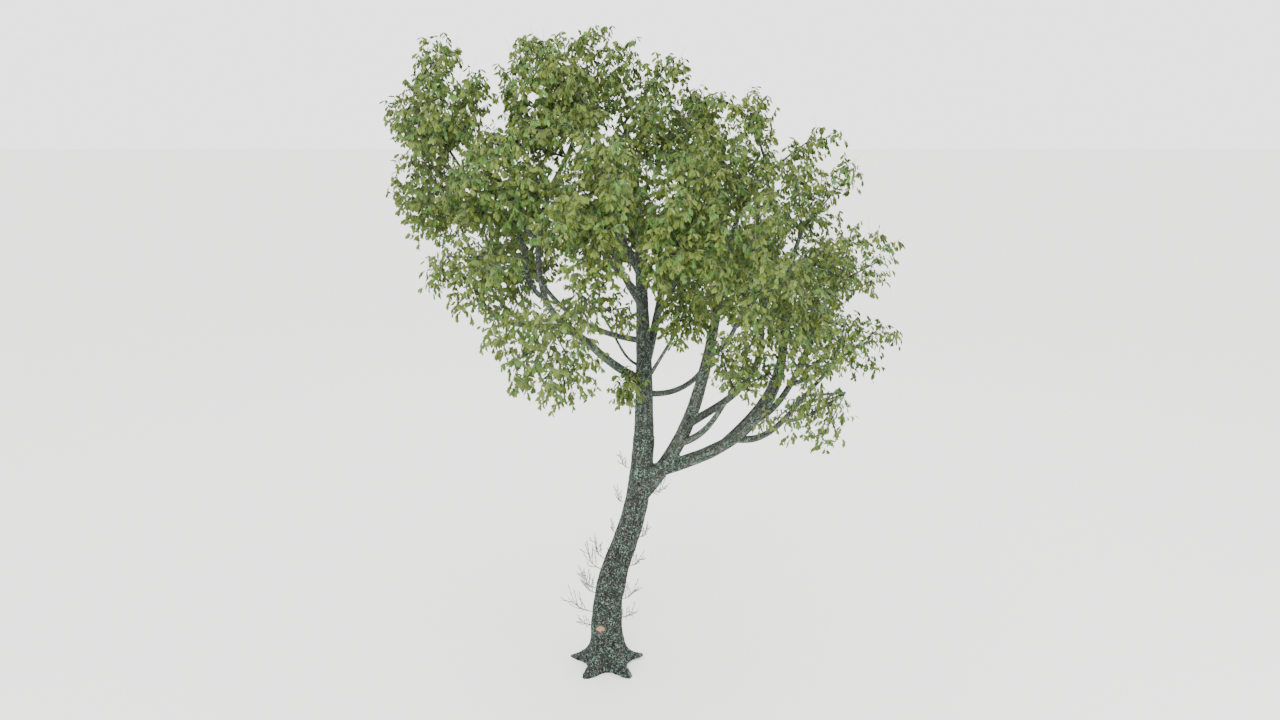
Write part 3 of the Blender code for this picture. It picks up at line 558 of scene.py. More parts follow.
def joints_of(reach):
    """How many joints the twigs of a mass have."""
    return max(3, round(JOINTS_PER_SIZE * (4 / 3 * math.pi * np.prod(reach)) ** SIZE_POWER))


def spread_points(pool, count, start):
    """Evenly spread points from a pool, nearest the start first."""
    chosen, gaps = [], np.linalg.norm(pool - start, axis=1)
    for _ in range(min(count, len(pool))):
        far = int(gaps.argmax())
        chosen.append(pool[far])
        gaps = np.minimum(gaps, np.linalg.norm(pool - pool[far], axis=1))
    return sorted(chosen, key=lambda point: np.linalg.norm(point - start))


def grow_twigs(foot, head, points, passable):
    """Joins each point to the joint that keeps its way from the stem short and its turn slight.

    It returns the joints, the stem's two ends first, and the number of each one's parent.
    """
    joints, parents = [foot, head], [None, 0]
    ways = [0, np.linalg.norm(head - foot)]
    for point in points:
        costs = []
        for number in range(1, len(joints)):
            step = point - joints[number]
            came = unit(joints[number] - joints[parents[number]])
            turn = 1 - unit(step).dot(came)
            costs.append(np.linalg.norm(step) * (1 + TURN * turn) + DETOUR * ways[number])
        for choice in np.argsort(costs, kind="stable")[:TWIG_TRIES]:
            number = int(choice) + 1
            if passable(joints[number], point):
                parents.append(number)
                ways.append(ways[number] + np.linalg.norm(point - joints[number]))
                joints.append(point)
                break
    return joints, parents


def chains_of(joints, parents):
    """The twigs as chains of joints, each run on through its heaviest branch, and each joint's load."""
    load = [1] * len(joints)
    for number in range(len(joints) - 1, 0, -1):
        load[parents[number]] += load[number]
    branches = [[] for _ in joints]
    for number in range(1, len(joints)):
        branches[parents[number]].append(number)
    chains, starts = [], [[0, 1]]
    while starts:
        chain = starts.pop()
        while branches[chain[-1]]:
            onward = sorted(branches[chain[-1]], key=lambda branch: -load[branch])
            starts += [[chain[-1], side] for side in onward[1:]]
            chain.append(onward[0])
        chains.append(chain)
    return chains, load


def blade(root, tip, face, breadth, widest):
    """A spray's blade, folded along its midrib: its root, ridge, right edge, left edge and tip."""
    way = unit(tip - root)
    length = np.linalg.norm(tip - root)
    side = unit(np.cross(way, face))
    up = np.cross(side, way)
    middle = root + way * length * widest
    rise = up * length * SPRAY_FOLD / 2
    half = side * length * breadth / 2
    return np.array([root, middle + rise, middle - rise + half, middle - rise - half, tip])


def blade_solid(corners):
    """A blade on its own: the ridge runs straight from root to tip, so it needs no corner there."""
    root, _, right, left, tip = corners
    return [root, tip, right, left], [(0, 2, 1), (0, 1, 3), (0, 3, 2), (1, 2, 3)]


def place_blades(joints, parents, centre, reach, free, rng):
    """Sprays' blades by the joint and the share of the way to it where they spring.

    Share 0 is a blade that surrounds the twig, and share 1 one at its end. Each is turned until it
    lies free, or left out.
    """
    length = SPRAY_LENGTH * min(1, min(reach) / FULL_REACH)
    ends = set(range(2, len(joints))) - set(parents)
    placed = {}
    for share in (1, 0, *SIDE_SHARES):
        for number in range(2, len(joints)):
            if share == 1 and number not in ends:
                continue
            before = joints[parents[number]]
            step = joints[number] - before
            root = before + share * step
            offset = (root + step * (share == 0) / 2 - centre) / reach
            if np.linalg.norm(offset) < HOLLOW and share:
                continue
            out = unit(offset / reach)
            for attempt in range(SPRAY_TURNS):
                face = unit(out + np.array([0, 0, LIFT]) + rng.normal(0, TILT, 3))
                if share == 0:
                    corners = blade(root, joints[number], face, ALONG_BREADTH, ALONG_WIDEST)
                else:
                    way = unit(step) + OUTWARD * out + rng.normal(0, WANDER, 3)
                    way = unit(way - np.array([0, 0, DROOP]))
                    if share == 1 and way.dot(unit(step)) < LEAST_RUN_ON:
                        continue
                    size = length * rng.uniform(*SPRAY_SIZES) * (1 - SHRINK * attempt)
                    corners = blade(root, root + way * size, face, SPRAY_BREADTH, SPRAY_WIDEST)
                if free(corners, number):
                    placed[number, share] = corners
                    break
    return placed


def stem_of(name):
    """The two ends of a mass's stem: at its limb's tip, or on the middle of the limb it springs from."""
    mass = MASSES[name]
    limb = LIMBS[mass.limb]
    if mass.share < 1:
        return curve_point(mass.limb, mass.share), np.array(mass.centre)
    way = direction(*limb.end)
    foot = np.array(limb.tip) + way * GAP
    length = STEM_SHARE * min(mass.reach)
    while not inside(name, foot + way * length, BORDER + stem_radius_of(name)):
        length += STEM_STEP
    return foot, foot + way * length


def stem_radius_of(name):
    mass = MASSES[name]
    return LIMBS[mass.limb].thin * STEM_GIRTH / 2 if mass.share == 1 else SIDE_STEM_RADIUS


def joined(solids):
    """Several solids as one list of vertices and one of faces."""
    vertices, faces = [], []
    for some, more in solids:
        faces += [tuple(corner + len(vertices) for corner in face) for face in more]
        vertices += list(some)
    return vertices, faces


def grown(name, seed, in_the_way):
    """A mass's joints, the parent of each and its sprays, by the rule and the seed of its solid."""
    mass = MASSES[name]
    rng = np.random.default_rng(seed)
    centre, reach = np.array(mass.centre), np.array(mass.reach)
    foot, head = stem_of(name)
    obstacles = tree_of(*joined(in_the_way))
    pool = rng.uniform(-1, 1, (POOL, 3))
    pool = centre + pool[(pool**2).sum(1) <= 1] * reach * INSET
    pool = pool[inside(name, pool, BORDER + TWIG_RADIUS)]

    def passable(start, end):
        vertices, faces = skin(rings_along([start, end], [TWIG_RADIUS + CLEAR] * 2, TWIG_SIDES))
        return not tree_of(vertices, faces).overlap(obstacles)

    joints, parents = grow_twigs(foot, head, spread_points(pool, joints_of(reach), head), passable)
    tubes = {
        number: skin(
            rings_along([joints[parents[number]], joints[number]], [TWIG_RADIUS] * 2, TWIG_SIDES)
        )
        for number in range(2, len(joints))
    }
    taken = []

    def free(corners, number):
        vertices, faces = blade_solid(corners)
        if not inside(name, np.array(vertices)).all() or tree_of(vertices, faces).overlap(obstacles):
            return False
        root, tip = vertices[0], vertices[1]
        heart = [root + (tip - root) * HEART, tip + (root - tip) * HEART, *vertices[2:]]
        others = [tubes[other] for other in tubes if other != number] + taken
        if others and tree_of(heart, faces).overlap(tree_of(*joined(others))):
            return False
        taken.append((heart, faces))
        return True

    return joints, parents, place_blades(joints, parents, centre, reach, free, rng)


def linear(srgb_hex):
    """The linear colour, with alpha, of an sRGB hex value."""
    channels = [int(srgb_hex[i : i + 2], 16) / 255 for i in (1, 3, 5)]
    return [c / 12.92 if c <= 0.04045 else ((c + 0.055) / 1.055) ** 2.4 for c in channels] + [1]


def add_node(material, kind, links=None, stops=(), **settings):
    """A node with its settings. links gives what feeds its inputs: a socket, or a plain value.

    stops are a colour ramp's: (position, sRGB hex).
    """
    node = material.node_tree.nodes.new(kind)
    for key, value in settings.items():
        setattr(node, key, value)
    for key, source in (links or {}).items():
        if isinstance(source, bpy.types.NodeSocket):
            material.node_tree.links.new(source, node.inputs[key])
        else:
            node.inputs[key].default_value = source
    for position, colour in stops[2:]:
        node.color_ramp.elements.new(position)
    for number, (position, colour) in enumerate(stops):
        node.color_ramp.elements[number].position = position
        node.color_ramp.elements[number].color = linear(colour)
    return node


def new_material(name, roughness):
    material = bpy.data.materials.new(name)
    material.use_nodes = True
    shader = material.node_tree.nodes["Principled BSDF"]
    shader.inputs["Roughness"].default_value = roughness
    shader.inputs["Metallic"].default_value = 0
    return material, shader


def oak_bark():
    """Mature red oak bark: hard dark grey ridges, grown over by curling crusts of pale lichen."""
    material, shader = new_material("red oak bark with lichen", 0.9)
    shader.inputs["Specular IOR Level"].default_value = 0.15
    place = add_node(material, "ShaderNodeTexCoord").outputs["Object"]
    grain = add_node(material, "ShaderNodeAttribute", attribute_name="grain").outputs["Vector"]
    age = add_node(material, "ShaderNodeAttribute", attribute_name="age").outputs["Fac"]
    # Ridges and furrows 50 mm apart and 400 mm long, as in the relief.
    along = add_node(
        material,
        "ShaderNodeMapping",
        {"Vector": grain, "Scale": (1 / FISSURE, 1 / FISSURE, 1 / FISSURE_LENGTH)},
    ).outputs["Vector"]
    furrows = add_node(
        material, "ShaderNodeTexNoise", {"Vector": along, "Scale": 1, "Detail": 4, "Roughness": 0.6}
    ).outputs["Fac"]
    old = add_node(
        material,
        "ShaderNodeValToRGB",
        {"Fac": furrows},
        [(0.3, "#10110f"), (0.5, "#1c1e1b"), (0.7, "#2b2e2a")],
    ).outputs["Color"]
    young = add_node(
        material,
        "ShaderNodeValToRGB",
        {"Fac": furrows},
        [(0.3, "#1f221e"), (0.5, "#343831"), (0.7, "#4d524a")],
    ).outputs["Color"]
    wood = add_node(
        material, "ShaderNodeMix", {"Factor": age, 6: young, 7: old}, data_type="RGBA"
    ).outputs[2]
    # Damp patches 220 mm across, where the lichen is mint green, and dry ones where it is grey.
    damp = add_node(
        material, "ShaderNodeTexNoise", {"Vector": place, "Scale": 1 / 0.22, "Detail": 3, "Roughness": 0.6}
    ).outputs["Fac"]
    lichen = add_node(
        material,
        "ShaderNodeValToRGB",
        {"Fac": damp},
        [(0.46, "#717a71"), (0.56, "#74887d"), (0.68, "#739988")],
    ).outputs["Color"]
    # Curling crusts 20 to 50 mm long.
    crusts = add_node(
        material,
        "ShaderNodeTexNoise",
        {"Vector": place, "Scale": 1 / 0.045, "Detail": 3, "Roughness": 0.65, "Distortion": 1.5},
    ).outputs["Fac"]
    spread = add_node(
        material, "ShaderNodeValToRGB", {"Fac": crusts}, [(0.52, "#000000"), (0.62, "#e0e0e0")]
    ).outputs["Color"]
    crusted = add_node(
        material, "ShaderNodeMix", {"Factor": spread, 6: wood, 7: lichen}, data_type="RGBA"
    ).outputs[2]
    material.node_tree.links.new(crusted, shader.inputs["Base Color"])
    fine = add_node(
        material, "ShaderNodeTexNoise", {"Vector": along, "Scale": 3, "Detail": 5, "Roughness": 0.7}
    ).outputs["Fac"]
    bump = add_node(material, "ShaderNodeBump", {"Height": fine, "Strength": 0.5, "Distance": 0.012})
    material.node_tree.links.new(bump.outputs["Normal"], shader.inputs["Normal"])
    return material


def blotched(name, roughness, blotch, dark, light):
    """A surface whose colour changes in soft blotches, given how far across they are."""
    material, shader = new_material(name, roughness)
    shader.inputs["Specular IOR Level"].default_value = 0.3
    place = add_node(material, "ShaderNodeTexCoord").outputs["Object"]
    shades = add_node(
        material, "ShaderNodeTexNoise", {"Vector": place, "Scale": 1 / blotch, "Detail": 3}
    ).outputs["Fac"]
    colour = add_node(
        material, "ShaderNodeValToRGB", {"Fac": shades}, [(0.36, dark), (0.64, light)]
    ).outputs["Color"]
    material.node_tree.links.new(colour, shader.inputs["Base Color"])
    return material


def oak_leaf(name, dark, light):
    """A summer oak leaf: leathery and satin, with blotches near the size of a leaf."""
    return blotched(name, 0.55, 0.15, dark, light)


def twig_bark(name, dark, light):
    """Young oak bark: thin, smooth and grey, with faint blotches."""
    return blotched(name, 0.75, 0.04, dark, light)


def cut_wood():
    """The face of an old pruning cut: pinkish oak heartwood, weathered in small flecks."""
    return blotched("weathered oak heartwood", 0.7, 0.03, "#7e5338", "#be8c68")


def deselect():
    bpy.ops.object.select_all(action="DESELECT")


def applied(obj, modifier):
    deselect()
    bpy.context.view_layer.objects.active = obj
    obj.select_set(True)
    bpy.ops.object.modifier_apply(modifier=modifier.name)


def turn_outward():
    """Turns every face of the object being edited outward, and leaves edit mode."""
    bpy.ops.mesh.select_all(action="SELECT")
    bpy.ops.mesh.normals_make_consistent()
    bpy.ops.object.mode_set(mode="OBJECT")


def limb_path(name):
    """A Bezier path along a limb's curve."""
    limb = LIMBS[name]
    foot, tip = foot_of(name), np.array(limb.tip)
    handle = limb.handle * np.linalg.norm(tip - foot)
    deselect()
    bpy.ops.curve.primitive_bezier_curve_add()
    path = bpy.context.object
    path.data.resolution_u = PATH_STEPS
    path.data.use_stretch = True
    path.data.use_deform_bounds = True
    first, last = path.data.splines[0].bezier_points
    for point in (first, last):
        point.handle_left_type = point.handle_right_type = "FREE"
    leaving, arriving = direction(*limb.start) * handle, direction(*limb.end) * handle
    first.co, first.handle_left, first.handle_right = foot, foot - leaving, foot + leaving
    last.co, last.handle_left, last.handle_right = tip, tip - arriving, tip + arriving
    return path


def limb_skin(name):
    """A limb's tube: a disc drawn up the Z axis ring by ring as it tapers, then bent along its path."""
    shares = np.linspace(0, 1, CURVE_STEPS)
    walked = walked_along([curve_point(name, share) for share in shares])
    steps = max(LEAST_RINGS, round(walked[-1] / RING_STEP))
    heights = np.linspace(0, walked[-1], steps + 1)
    radii = [limb_radius(name, np.interp(h, walked, shares), h) for h in heights]
    deselect()
    sides = TRUNK_SKIN_SIDES if name == "trunk" else SKIN_SIDES
    bpy.ops.mesh.primitive_circle_add(vertices=sides, radius=radii[0], fill_type="NGON")
    obj = bpy.context.object
    obj.name = name + "_skin"
    bpy.ops.object.mode_set(mode="EDIT")
    bpy.ops.mesh.select_all(action="SELECT")
    for low, high, before, radius in zip(heights, heights[1:], radii, radii[1:]):
        bpy.ops.mesh.extrude_region_move(TRANSFORM_OT_translate={"value": (0, 0, high - low)})
        ratio = radius / before
        bpy.ops.transform.resize(value=(ratio, ratio, 1), center_override=(0, 0, high))
    turn_outward()
    path = limb_path(name)
    bend = obj.modifiers.new("bend", "CURVE")
    bend.object = path
    bend.deform_axis = "POS_Z"
    applied(obj, bend)
    bpy.data.objects.remove(path)
    return obj


def vertices_of(obj):
    found = np.empty(len(obj.data.vertices) * 3, np.float32)
    obj.data.vertices.foreach_get("co", found)
    return found.reshape(-1, 3).astype(float)


def set_vertices(obj, places):
    obj.data.vertices.foreach_set("co", np.ascontiguousarray(places, np.float32).ravel())
    obj.data.update()


def spread_foot(trunk):
    """Draws the foot of the trunk out into its root lobes."""
    places = vertices_of(trunk)
    shares = np.linspace(0, 1, TRUNK_STEPS)
    axis = np.array([curve_point("trunk", share) for share in shares])
    heights = places[:, 2]
    middle = np.stack([np.interp(heights, axis[:, 2], axis[:, i]) for i in (0, 1)], axis=1)
    out = places[:, :2] - middle
    away = np.linalg.norm(out, axis=1)
    turned = np.degrees(np.arctan2(out[:, 1], out[:, 0]))
    flare = np.array([root_flare(turn, max(height, 0)) for turn, height in zip(turned, heights)])
    share = np.where(away > ON_AXIS, ROOT_STRETCH * flare / np.maximum(away, ON_AXIS), 0)
    along = np.interp(heights, axis[:, 2], shares)
    full = away / np.array([limb_radius("trunk", s, 0) for s in along])
    places[:, :2] += out * (share * np.minimum(full, 1))[:, None]
    set_vertices(trunk, places)


def bark_axes():
    """Points along every limb: its radius there, its length so far and three directions."""
    rows = []
    for number, name in enumerate(LIMBS):
        shares = np.linspace(0, 1, AXIS_STEPS)
        points = np.array([curve_point(name, share) for share in shares])
        ways = np.gradient(points, axis=0)
        ways /= np.linalg.norm(ways, axis=1)[:, None]
        across = np.array([1.0, 0, 0])
        for share, point, way, length in zip(shares, points, ways, walked_along(points)):
            across = unit(across - way * across.dot(way))
            radius = limb_radius(name, share, length)
            up = np.cross(way, across)
            rows.append((point, radius, length + LIMBS_APART * number, across, up, way))
    return Axis(*(np.array(column) for column in zip(*rows)))


def nearest_axis(places, axes):
    """The number of the point whose limb has its surface nearest, for each place."""
    middles, radii = axes.place.astype(np.float32), axes.radius.astype(np.float32)
    nearest = []
    for some in np.array_split(places.astype(np.float32), max(1, len(places) // BATCH)):
        nearest.append((np.linalg.norm(some[:, None] - middles, axis=2) - radii).argmin(1))
    return np.concatenate(nearest)


def keep_grain(obj, grain, age):
    """Stores what the bark's material reads: each vertex's place along its limb, and the bark's age."""
    places = obj.data.attributes.new("grain", "FLOAT_VECTOR", "POINT")
    places.data.foreach_set("vector", grain.astype(np.float32).ravel())
    ages = obj.data.attributes.new("age", "FLOAT", "POINT")
    ages.data.foreach_set("value", age.astype(np.float32))


def bark_relief(obj):
    """Furrows and ridges along each limb, deep on old bark and faint on young."""
    places = vertices_of(obj)
    axes = bark_axes()
    nearest = nearest_axis(places, axes)
    axis = Axis(*(column[nearest] for column in axes))
    offset = places - axis.place
    grain = np.stack([(offset * way).sum(1) for way in axis[3:]], axis=1)
    normals = np.empty(len(places) * 3, np.float32)
    obj.data.vertices.foreach_get("normal", normals)
    normals = normals.reshape(-1, 3)
    # Smoothing made the limbs thinner, so their sides are brought out again to their own girth.
    lost = np.clip(axis.radius - np.hypot(grain[:, 0], grain[:, 1]), 0, axis.radius / 2)
    sideways = np.abs((normals * axis.way).sum(1)) < SIDE_COSINE
    places += normals * (lost * sideways)[:, None]
    grain[:, 2] += axis.length
    age = np.clip((axis.radius - YOUNG_RADIUS) / AGEING, 0, 1)
    scaled = grain / (FISSURE, FISSURE, FISSURE_LENGTH)
    ridges = np.array([noise.fractal(Vector(p), *RIDGE_LAYERS) for p in scaled])
    burls = np.array([noise.noise(Vector(p)) for p in places / BURL])
    depth = RELIEF * (YOUNG_RELIEF + (1 - YOUNG_RELIEF) * age)
    height = np.clip(ridges, -HIGHEST_RIDGE, HIGHEST_RIDGE) * depth + burls * BURL_HEIGHT * age
    places += normals * height[:, None]
    places[:, 2] = np.maximum(places[:, 2], 0)
    set_vertices(obj, places)
    keep_grain(obj, grain, age)


def bark_piece(name, limbs, grain, bark):
    """Several limbs' tubes grown together into one skin of bark."""
    tubes = [limb_skin(limb) for limb in limbs]
    if "trunk" in limbs:
        spread_foot(tubes[0])
    deselect()
    for tube in tubes:
        tube.select_set(True)
    bpy.context.view_layer.objects.active = tubes[0]
    bpy.ops.object.join()
    obj = bpy.context.object
    obj.name = name
    remesh = obj.modifiers.new("grow together", "REMESH")
    remesh.mode = "VOXEL"
    remesh.voxel_size = grain
    applied(obj, remesh)
    sharp = vertices_of(obj)
    smooth = obj.modifiers.new("fill the crotches", "SMOOTH")
    smooth.factor = 0.5
    smooth.iterations = BLEND
    applied(obj, smooth)
    above = np.clip(sharp[:, 2] / FOOT_HEIGHT, 0, 1)[:, None]
    set_vertices(obj, sharp + (vertices_of(obj) - sharp) * above)
    bark_relief(obj)
    bpy.ops.object.shade_smooth()
    obj.data.materials.clear()
    obj.data.materials.append(bark)
    for limb in limbs:
        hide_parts(limb)
    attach(obj, "root")
    return obj


def from_arrays(name, vertices, triangles, finish, slot):
    """One piece that rides with the tree, from arrays of vertices and triangles."""
    mesh = bpy.data.meshes.new(name)
    mesh.vertices.add(len(vertices))
    mesh.vertices.foreach_set("co", np.ascontiguousarray(vertices, np.float32).ravel())
    mesh.loops.add(triangles.size)
    mesh.loops.foreach_set("vertex_index", np.ascontiguousarray(triangles, np.int32).ravel())
    mesh.polygons.add(len(triangles))
    mesh.polygons.foreach_set("loop_start", np.arange(0, triangles.size, 3, dtype=np.int32))
    mesh.update(calc_edges=True)
    mesh.materials.append(finish)
    obj = bpy.data.objects.new(name, mesh)
    bpy.context.scene.collection.objects.link(obj)
    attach(obj, "root")
    return obj


def tapering_twigs(rows, sides):
    """Straight twigs as tapering tubes, in one array of vertices and one of triangles.

    rows gives each one's start and end, and its radius at both.
    """
    starts, ends, first, last = (np.array(column) for column in zip(*rows))
    ways = ends - starts
    ways /= np.linalg.norm(ways, axis=1)[:, None]
    helper = np.where(np.abs(ways[:, :1]) < 0.9, [[1.0, 0, 0]], [[0, 1.0, 0]])
    across = np.cross(ways, helper)
    across /= np.linalg.norm(across, axis=1)[:, None]
    up = np.cross(ways, across)
    turns = 2 * math.pi * np.arange(sides)[None, :, None] / sides
    spokes = across[:, None] * np.cos(turns) + up[:, None] * np.sin(turns)
    low = starts[:, None] + spokes * first[:, None, None]
    high = ends[:, None] + spokes * last[:, None, None]
    vertices = np.concatenate([low, high], axis=1).reshape(-1, 3)
    a = np.arange(sides)
    b = (a + 1) % sides
    walls = np.concatenate([np.stack([a, b, b + sides], 1), np.stack([a, b + sides, a + sides], 1)])
    caps = [(0, k + 1, k) for k in range(1, sides - 1)]
    caps += [(sides, sides + k, sides + k + 1) for k in range(1, sides - 1)]
    faces = np.concatenate([walls, np.array(caps)])
    numbers = 2 * sides * np.arange(len(rows))
    return vertices, (faces[None] + numbers[:, None, None]).reshape(-1, 3)


def leaf_shape():
    """One leaf's vertices, in shares of its length along, across and up, and its triangles."""
    rib = [(along, 0.0) for along in LEAF_RIB]
    right = [(along, -across) for along, across in LEAF_HALF]
    left = list(LEAF_HALF)
    flat = rib + right + left
    spots = list(range(len(rib)))
    first = len(rib)
    halves = [
        [0, *range(first, first + len(right)), *reversed(spots[1:])],
        [*spots, *range(first + len(right) + len(left) - 1, first + len(right) - 1, -1)],
    ]
    triangles = []
    for half in halves:
        corners = [Vector((*flat[number], 0)) for number in half]
        for face in tessellate_polygon([corners]):
            a, b, c = (half[k] for k in face)
            edge = np.array(flat[b]) - flat[a], np.array(flat[c]) - flat[a]
            turned = edge[0][0] * edge[1][1] - edge[0][1] * edge[1][0]
            triangles.append((a, b, c) if turned > 0 else (a, c, b))
    flat = np.array(flat)
    up = LEAF_FOLD * np.abs(flat[:, 1]) - LEAF_ARCH * np.clip(flat[:, 0], 0, 1) ** 2
    return np.column_stack([flat, up]), np.array(triangles)


def spray_twigs(corners, face, rng):
    """The fine twigs of one spray: its middle one and those that fan out over its blade."""
    root, _, right, left, tip = corners
    middle = tip - root
    widest = root + middle * SPRAY_WIDEST
    twigs = [(root, root + middle * SPRAY_RUN)]
    for share in SIDE_FORKS:
        breadth = 1 - NARROWING * abs(share - SPRAY_WIDEST)
        for edge in (right, left):
            fork = root + middle * (share + rng.uniform(-FORK_STRAY, FORK_STRAY))
            reach = (edge - widest) * breadth * rng.uniform(*SIDE_REACHES)
            end = fork + reach + middle * rng.uniform(*SIDE_RUNS)
            twigs.append((fork, end + face * rng.normal(0, ROUGHNESS)))
    return twigs


def hosts_along(start, end, shares):
    """Places on a twig that another may spring from, each with the twig's way."""
    return [(start + (end - start) * share, unit(end - start)) for share in shares]


def filling_twigs(name, hosts, rng):
    """Fine twigs that end at points spread evenly through a mass's space, inner ones first.

    Each springs from the twig that keeps it short and its turn slight, earlier ones among them.
    """
    mass = MASSES[name]
    centre, reach = np.array(mass.centre), np.array(mass.reach) + FINE_PROUD
    pool = rng.uniform(-1, 1, (FINE_POOL, 3))
    pool = centre + pool[(pool**2).sum(1) <= 1] * reach
    own = pool[inside(name, pool, -FINE_PROUD)]
    known = np.array([place for place, _ in hosts])
    near = np.array([np.linalg.norm(known - point, axis=1).min() < FINE_NEAR for point in own])
    own = own[near]
    space = 4 / 3 * math.pi * np.prod(reach) * len(own) / len(pool)
    count = round(FINE_DENSITY * THINNED.get(name, (1, 1))[0] * space)
    ends = spread_points(own, count, centre)
    places, ways = np.zeros((2, len(hosts) + len(ends), 3))
    for number, (place, way) in enumerate(hosts):
        places[number], ways[number] = place, way
    twigs = []
    for number, end in enumerate(ends, len(hosts)):
        steps = end - places[:number]
        lengths = np.linalg.norm(steps, axis=1)
        turns = 1 - (steps * ways[:number]).sum(1) / lengths
        host = (lengths * (1 + TURN * turns)).argmin()
        twigs.append((places[host].copy(), end))
        places[number], ways[number] = end, steps[host] / lengths[host]
    return twigs


def leaf_rows(start, end, face, rng):
    """Where the leaves of one fine twig stand, which way they point and which way they face."""
    way, length = unit(end - start), np.linalg.norm(end - start)
    side = unit(np.cross(way, face))
    rows = []
    for share, turn in LEAF_SEATS:
        turn = math.radians(turn + rng.normal(0, LEAF_SWING))
        heading = way * math.cos(turn) + side * math.sin(turn) + face * rng.normal(0, LEAF_RISE)
        pointing = unit(heading - np.array([0, 0, LEAF_DROOP]))
        facing = face + rng.normal(0, LEAF_TILT, 3) + np.array([0, 0, LEAF_LIFT])
        rows.append((start + way * length * share, pointing, facing))
    return rows


def own_twigs(name, joints, parents):
    """The twigs of a mass's solid: the ends of each straight length, and the radius at both."""
    chains, load = chains_of(joints, parents)
    stem = stem_radius_of(name)
    radii = [max(TWIG_RADIUS, stem * math.sqrt(count / load[1])) for count in load]
    radii[0] = radii[1] = stem
    rows = []
    for chain in chains:
        for a, b in zip(chain, chain[1:]):
            thick = radii[a] if a in chain[1:] or a == 0 else radii[b]
            ends = TWIG_GIRTH * np.array([min(thick, radii[a]), radii[b] * TWIG_TAPER])
            rows.append((joints[a], joints[b], *ends))
    return rows


def fine_twigs(name, joints, parents, blades, rng):
    """A mass's fine twigs, as the ends and radii of each, and the ends and face of the leafy ones."""
    rows, leafy, hosts = [], [], []
    for joint in range(2, len(joints)):
        hosts += hosts_along(joints[parents[joint]], joints[joint], TWIG_HOSTS)
    for corners in blades:
        face = unit(corners[1] - (corners[2] + corners[3]) / 2)
        twigs = spray_twigs(corners, face, rng)
        rows.append((*twigs[0], FINE_RADIUS * MIDDLE_GIRTH, FINE_RADIUS))
        rows += [(*twig, FINE_RADIUS, FINE_TIP_RADIUS) for twig in twigs[1:]]
        for twig in twigs:
            leafy.append((*twig, face))
            hosts += hosts_along(*twig, SPRAY_HOSTS)
    for start, end in filling_twigs(name, hosts, rng):
        rows.append((start, end, FINE_RADIUS, FINE_TIP_RADIUS))
        out = unit(end - MASSES[name].centre)
        leafy.append((start, end, unit(out + rng.normal(0, FACE_STRAY, 3))))
        if rng.random() < BARE_TIPS and out[2] > 0:
            rise = unit(unit(end - start) + out + [0, 0, BARE_TIP_RISE])
            tip = end + rise * rng.uniform(*BARE_TIP_LENGTHS)
            rows.append((end, tip, FINE_TIP_RADIUS * BARE_TIP_GIRTH, FINE_TIP_RADIUS))
    return rows, leafy


def leaf_piece(name, rows, finish):
    """The leaves of one tint in one piece, without those that would pass the solids' box."""
    shape, triangles = leaf_shape()
    places, ways, faces = (np.array(column) for column in zip(*rows))
    rng = np.random.default_rng(len(rows))
    sizes = LEAF_LENGTH * rng.uniform(*LEAF_SIZES, len(rows))
    across = np.cross(faces, ways)
    across /= np.linalg.norm(across, axis=1)[:, None]
    up = np.cross(ways, across)
    axes = np.stack([ways, across, up], axis=1) * sizes[:, None, None]
    vertices = places[:, None] + np.einsum("vk,nkc->nvc", shape, axes)
    low, high = np.array(CAD_BOX)
    vertices = vertices[((vertices > low) & (vertices < high)).all((1, 2))]
    numbers = np.arange(len(vertices)) * len(shape)
    faces = (triangles[None] + numbers[:, None, None]).reshape(-1, 3)
    return from_arrays(name, vertices.reshape(-1, 3), faces, finish, "oak leaf")


def in_box(twig):
    """Whether a twig stays inside the solids' box."""
    ends, radius, (low, high) = np.array(twig[:2]), twig[2], np.array(CAD_BOX)
    return bool(((ends > low + radius) & (ends < high - radius)).all())


def build_foliage(finishes, twig_finish, bark):
    """The twigs of every mass in two pieces, and its leaves in one piece for each tint."""
    limbs = [limb_tube(name, CLEAR) for name in LIMBS]
    stems = {
        name: skin(rings_along(stem_of(name), [stem_radius_of(name) + CLEAR] * 2, TWIG_SIDES))
        for name in MASSES
    }
    twigs, leaves = [], [[] for _ in finishes]
    for number, name in enumerate(MASSES):
        others = [stems[other] for other in MASSES if other != name]
        seed = REGROWN.get(name, number)
        joints, parents, placed = grown(name, seed, limbs + others)
        rng = np.random.default_rng(LEAF_SEED + seed)
        fine, leafy = fine_twigs(name, joints, parents, placed.values(), rng)
        twigs += own_twigs(name, joints, parents) + fine
        share = THINNED.get(name, (1, 1))[1]
        for start, end, face in leafy:
            tint = rng.choice(len(finishes), p=TINT_SHARES)
            rows = leaf_rows(start, end, face, rng)
            leaves[tint] += [row for row in rows if rng.random() < share]
    twigs = [twig for twig in twigs if in_box(twig)]
    thick = [twig for twig in twigs if twig[2] > THICK_TWIG]
    fine = [twig for twig in twigs if twig[2] <= THICK_TWIG]
    pieces = [leaf_piece(name, rows, finishes[name]) for name, rows in zip(finishes, leaves)]
    vertices, faces = tapering_twigs(thick, THICK_SIDES)
    pieces.append(from_arrays("twigs", vertices, faces, bark, "oak leaf"))
    keep_grain(pieces[-1], vertices, np.zeros(len(vertices)))
    pieces.append(from_arrays("fine_twigs", *tapering_twigs(fine, FINE_SIDES), twig_finish, "oak leaf"))
    for mass in MASSES:
        for piece in pieces:
            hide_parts(mass)


